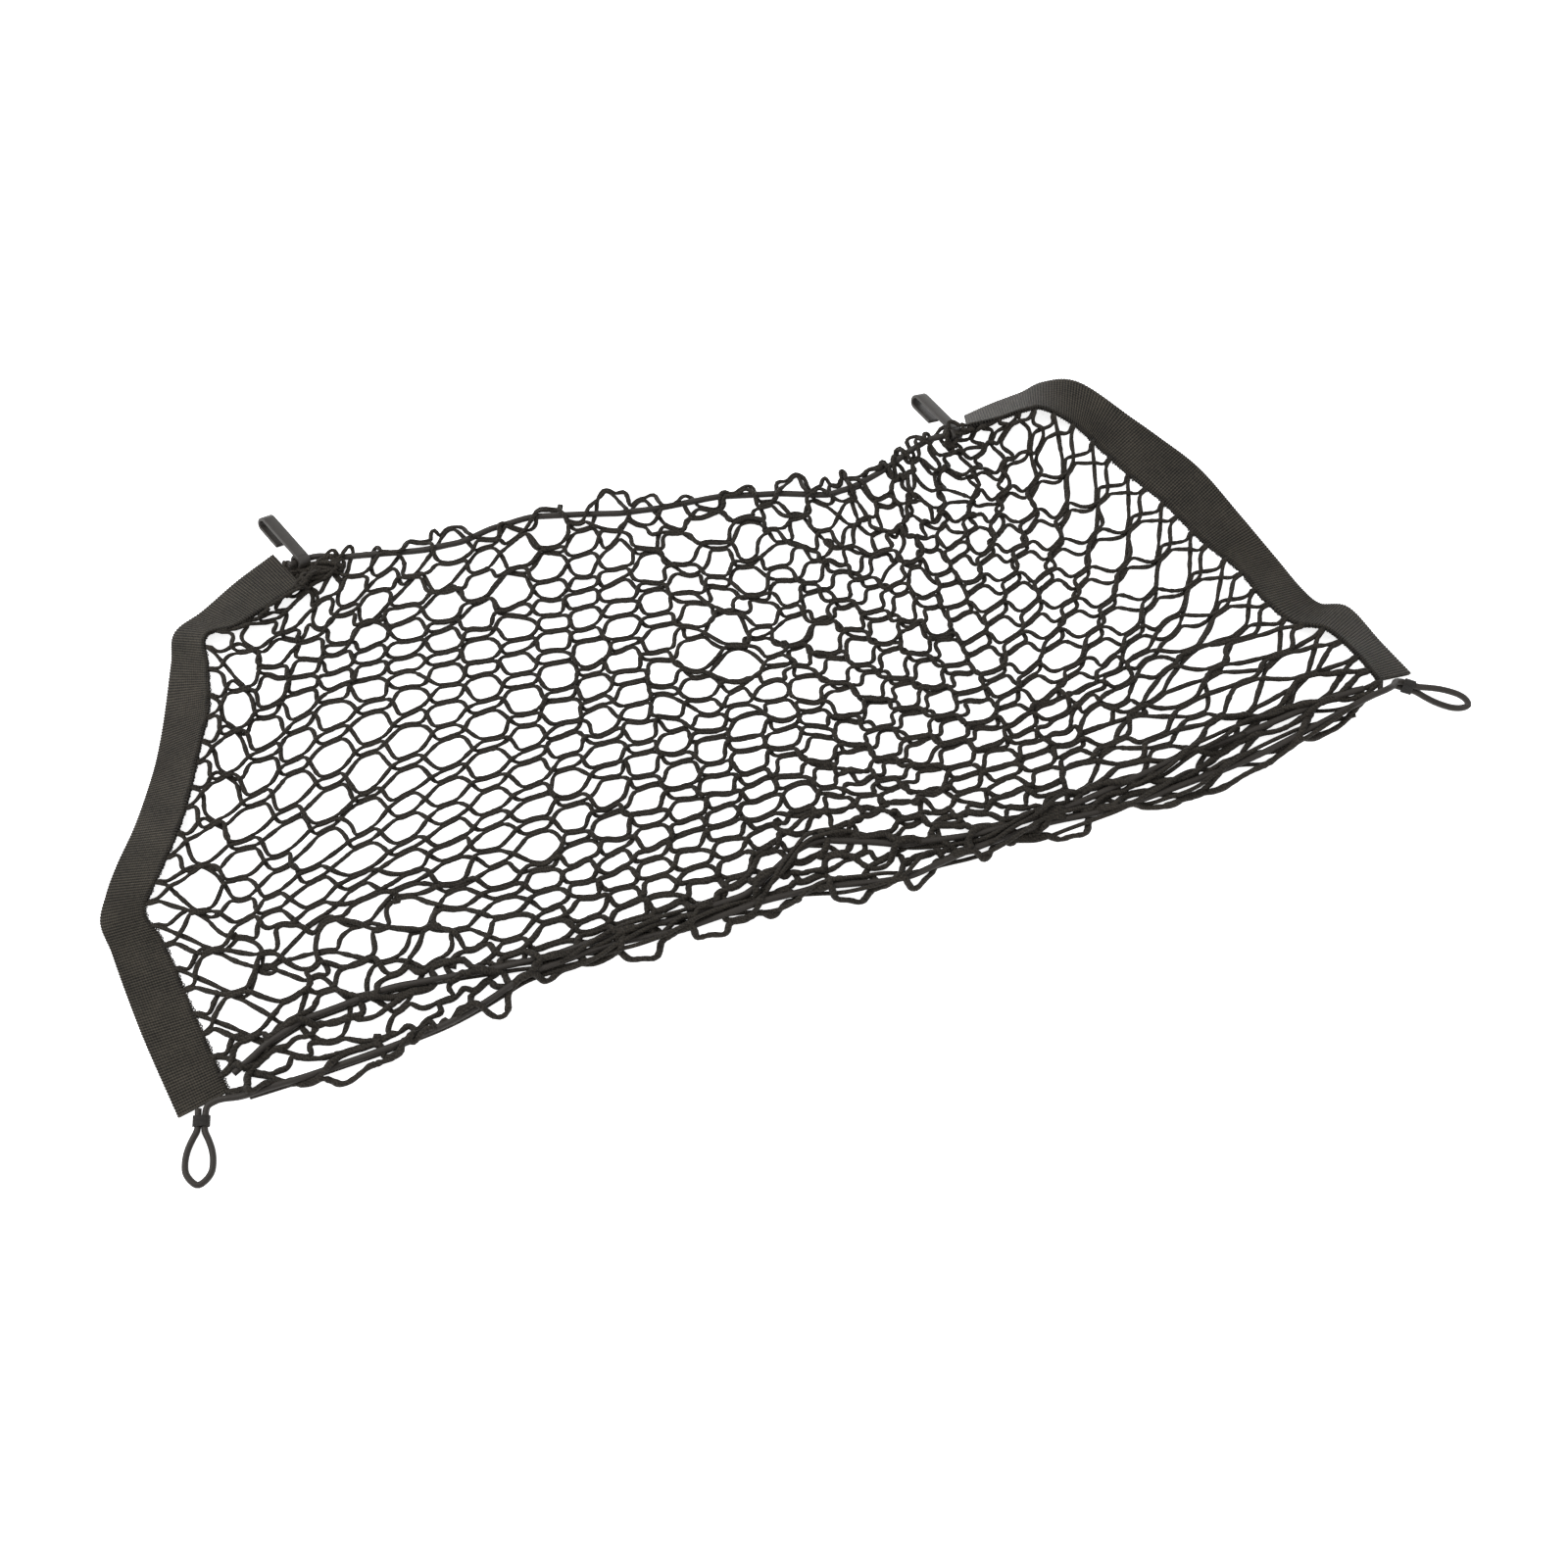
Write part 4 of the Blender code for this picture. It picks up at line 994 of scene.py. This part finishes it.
def tape_rings(inner, outer, normal, at, rib):
    """Sections of a tape folded along its outer edge, two plies with a slot
    between them; cosine ribs rise and fall on its outside along its length."""
    wide = np.linalg.norm(outer - inner, axis=1)
    across = (outer - inner) / wide[:, None]
    rise, skin, slot, depth = 0.28, 0.1, TAPE_HALF - TAPE_PLY, 0.93
    ribs = rise * np.cos(at * 2 * math.pi / rib)
    share = np.linspace(0, 1, 15)

    def line(s, h):
        return inner + across * (s * (wide - TAPE_HALF))[:, None] + normal * h

    rings = [line(s, (TAPE_HALF - skin + ribs)[:, None]) for s in share]
    for angle in np.radians(np.linspace(60, -60, 5)):
        r = TAPE_HALF - skin + ribs
        rings.append(inner + across * (wide - TAPE_HALF + r * math.cos(angle))[:, None]
                     + normal * (r * math.sin(angle))[:, None])
    rings += [line(s, (-TAPE_HALF + skin - ribs)[:, None]) for s in share[::-1]]
    rings += [line(s, h) for s, h in ((0.0, -slot), (depth, -slot), (depth, slot), (0.0, slot))]
    rings = np.stack(rings, axis=1)
    inside_out = np.sum(np.cross(rings[0, 1] - rings[0, 0], rings[1, 0] - rings[0, 0]) * normal[0]) > 0
    return (rings[:, ::-1] if inside_out else rings), across


class CARGO_NET_OT_tapes(bpy.types.Operator):
    """Edge tapes: ribbed knitted webbing folded lengthwise over the net's ends."""
    bl_idname = "cargo_net.tapes"
    bl_label = "Tapes"

    def execute(self, context):
        rib = context.scene.cargo_net_sizes.rib * 1000
        mat = webbing_material(paint(context, "webbing"), rib)
        for name, table in (("tape_left", TAPE_LEFT), ("tape_right", TAPE_RIGHT)):
            inner, outer, normal, at = tape_frame(table, rib / 4)
            rings, across = tape_rings(inner, outer, normal, at, rib)
            girth = run_length(rings[0])
            around = np.concatenate([girth, [girth[-1] + 1.0]])
            mesh = strip_mesh(name + "_webbing", rings[None], at[None], around)
            piece = place(name + "_webbing", mesh, mat, (name,))
            self.seam(name, inner, across, normal, at)
        return {"FINISHED"}

    def seam(self, name, inner, across, normal, at):
        """Overlock thread round the inner edge: an oval helix that wanders a little."""
        turn, thread = 2.4, 0.42
        run = np.arange(1.0, at[-1] - 1.0, 0.2)
        line, way, rise = [columns_at(run, at, table) for table in (inner, across, normal)]
        angle = run * 2 * math.pi / turn
        wander = 0.5 * np.sin(run * 0.9) + 0.4 * np.sin(run * 0.37)
        path = (line + way * (1.2 + (2.2 + wander) * np.cos(angle))[:, None]
                + rise * ((TAPE_HALF + 0.35) * np.sin(angle))[:, None])
        path[:, 2] = np.maximum(path[:, 2], 0.45)
        mesh = tube_mesh(name + "_seam", path[None], np.full((1, len(path)), thread), 5)
        place(name + "_seam", mesh, whipping_material(linear("#1F1C19")), (name,))


# ------------------------------------------------------------------ hooks
def band_section(width, thick, corner):
    """Rounded oblong, width by thick: a quarter circle of radius corner at each corner."""
    angle = np.radians(np.concatenate([np.linspace(90 * k + 4, 90 * k + 86, 5) for k in range(4)]))
    reach = np.array([thick / 2 - corner, width / 2 - corner])
    centre = np.repeat(np.array([(1, 1), (-1, 1), (-1, -1), (1, -1)]) * reach, 5, axis=0)
    return centre + corner * np.column_stack([np.cos(angle), np.sin(angle)])


def band_rings(middle, outward, section, scale, hook):
    """Sections of a flat band set square along its middle line.

    middle and outward lie in the hook's own plane, along its run and against its
    depth; the section's first axis follows outward, its second the hook's width.
    """
    run, depth, width = hook_axes(hook)
    flat = middle[:, None] + outward[:, None] * (section[None, :, :1] * scale[:, None, None])
    across = section[None, :, 1] * np.minimum(1.0, 0.8 + 0.2 * scale)[:, None]
    return (np.array(hook["eye"]) + flat[..., :1] * run - flat[..., 1:] * depth + across[..., None] * width)


class CARGO_NET_OT_hooks(bpy.types.Operator):
    """Two flat hooks of moulded plastic: closed eye, long leg, bend and short leg."""
    bl_idname = "cargo_net.hooks"
    bl_label = "Hooks"

    def execute(self, context):
        mat = plastic_material(paint(context, "plastic"))
        leg = HOOK_DEPTH / 2 - HOOK_THICK / 2
        bend = HOOK_LENGTH - HOOK_DEPTH
        # the long leg, half a circle, the short leg back to the mouth and its rounded end
        turn = np.radians(np.linspace(90, -90, 33))
        end = np.concatenate([np.linspace(bend, HOOK_MOUTH, 20)[1:-1],
                              HOOK_MOUTH + 1.2 - np.array([0.35, 0.8, 1.2, 1.4, 1.5])])
        line = np.concatenate([
            np.column_stack([np.linspace(0, bend, 24, endpoint=False), np.full(24, leg)]),
            np.column_stack([bend + leg * np.cos(turn), leg * np.sin(turn)]),
            np.column_stack([end, np.full(len(end), -leg)])])
        along = unit(np.gradient(line, axis=0))
        out = np.column_stack([-along[:, 1], along[:, 0]])
        scale = np.ones(len(line))
        scale[-5:] = (0.97, 0.86, 0.62, 0.38, 0.1)
        ring = np.radians(np.arange(0, 361, 7.5))
        eye_r = HOOK_DEPTH / 4 + EYE_R / 2
        eye = eye_r * np.column_stack([np.cos(ring), np.sin(ring)])
        corner = 0.7
        leg_section = band_section(HOOK_WIDTH - 0.1, HOOK_THICK, corner)
        eye_section = band_section(HOOK_WIDTH, HOOK_DEPTH / 2 - EYE_R, corner)
        for name, hook in (("hook_left", HOOK_LEFT), ("hook_right", HOOK_RIGHT)):
            for part, middle, outward, section, size in (
                    ("leg", line, out, leg_section, scale),
                    ("eye", eye, eye / eye_r, eye_section, np.ones(len(eye)))):
                rings = band_rings(middle, outward, section, size, hook)
                if np.dot(np.cross(rings[0, 1] - rings[0, 0], rings[1, 0] - rings[0, 0]),
                          rings[0, 0] - rings[0].mean(axis=0)) < 0:
                    rings = rings[:, ::-1]
                around = np.arange(len(section) + 1) * 1.3
                mesh = strip_mesh(f"{name}_{part}", rings[None], run_length(middle)[None], around,
                                  part == "leg")
                if part == "eye":      # the band closes on itself
                    shape = bmesh.new()
                    shape.from_mesh(mesh)
                    bmesh.ops.remove_doubles(shape, verts=shape.verts, dist=1e-6)
                    shape.to_mesh(mesh)
                    shape.free()
                place(f"{name}_{part}", mesh, mat, (name,))
        return {"FINISHED"}


# ------------------------------------------------------------------ panel
class CARGO_NET_PT_panel(bpy.types.Panel):
    """Sizes, colours and the pieces in the order that they are made."""
    bl_idname = "CARGO_NET_PT_panel"
    bl_label = "Cargo net"
    bl_space_type = "VIEW_3D"
    bl_region_type = "UI"
    bl_category = "Cargo net"

    def draw(self, context):
        layout = self.layout
        for group in (context.scene.cargo_net_sizes, context.scene.cargo_net_colours):
            for key in group.__annotations__:
                layout.prop(group, key)
        for operator in OPERATORS:
            layout.operator(operator.bl_idname)


OPERATORS = (CARGO_NET_OT_stage, CARGO_NET_OT_cords, CARGO_NET_OT_bindings, CARGO_NET_OT_netting,
             CARGO_NET_OT_tapes, CARGO_NET_OT_hooks)
CLASSES = (CargoNetSizes, CargoNetColours) + OPERATORS + (CARGO_NET_PT_panel,)


def register():
    for kind in CLASSES:
        bpy.utils.register_class(kind)
    bpy.types.Scene.cargo_net_sizes = bpy.props.PointerProperty(type=CargoNetSizes)
    bpy.types.Scene.cargo_net_colours = bpy.props.PointerProperty(type=CargoNetColours)


def unregister():
    del bpy.types.Scene.cargo_net_colours
    del bpy.types.Scene.cargo_net_sizes
    for kind in reversed(CLASSES):
        bpy.utils.unregister_class(kind)


def main():
    register()
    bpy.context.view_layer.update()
    for step in ("stage", "cords", "bindings", "netting", "tapes", "hooks"):
        getattr(bpy.ops.cargo_net, step)()


if __name__ == "__main__":
    main()
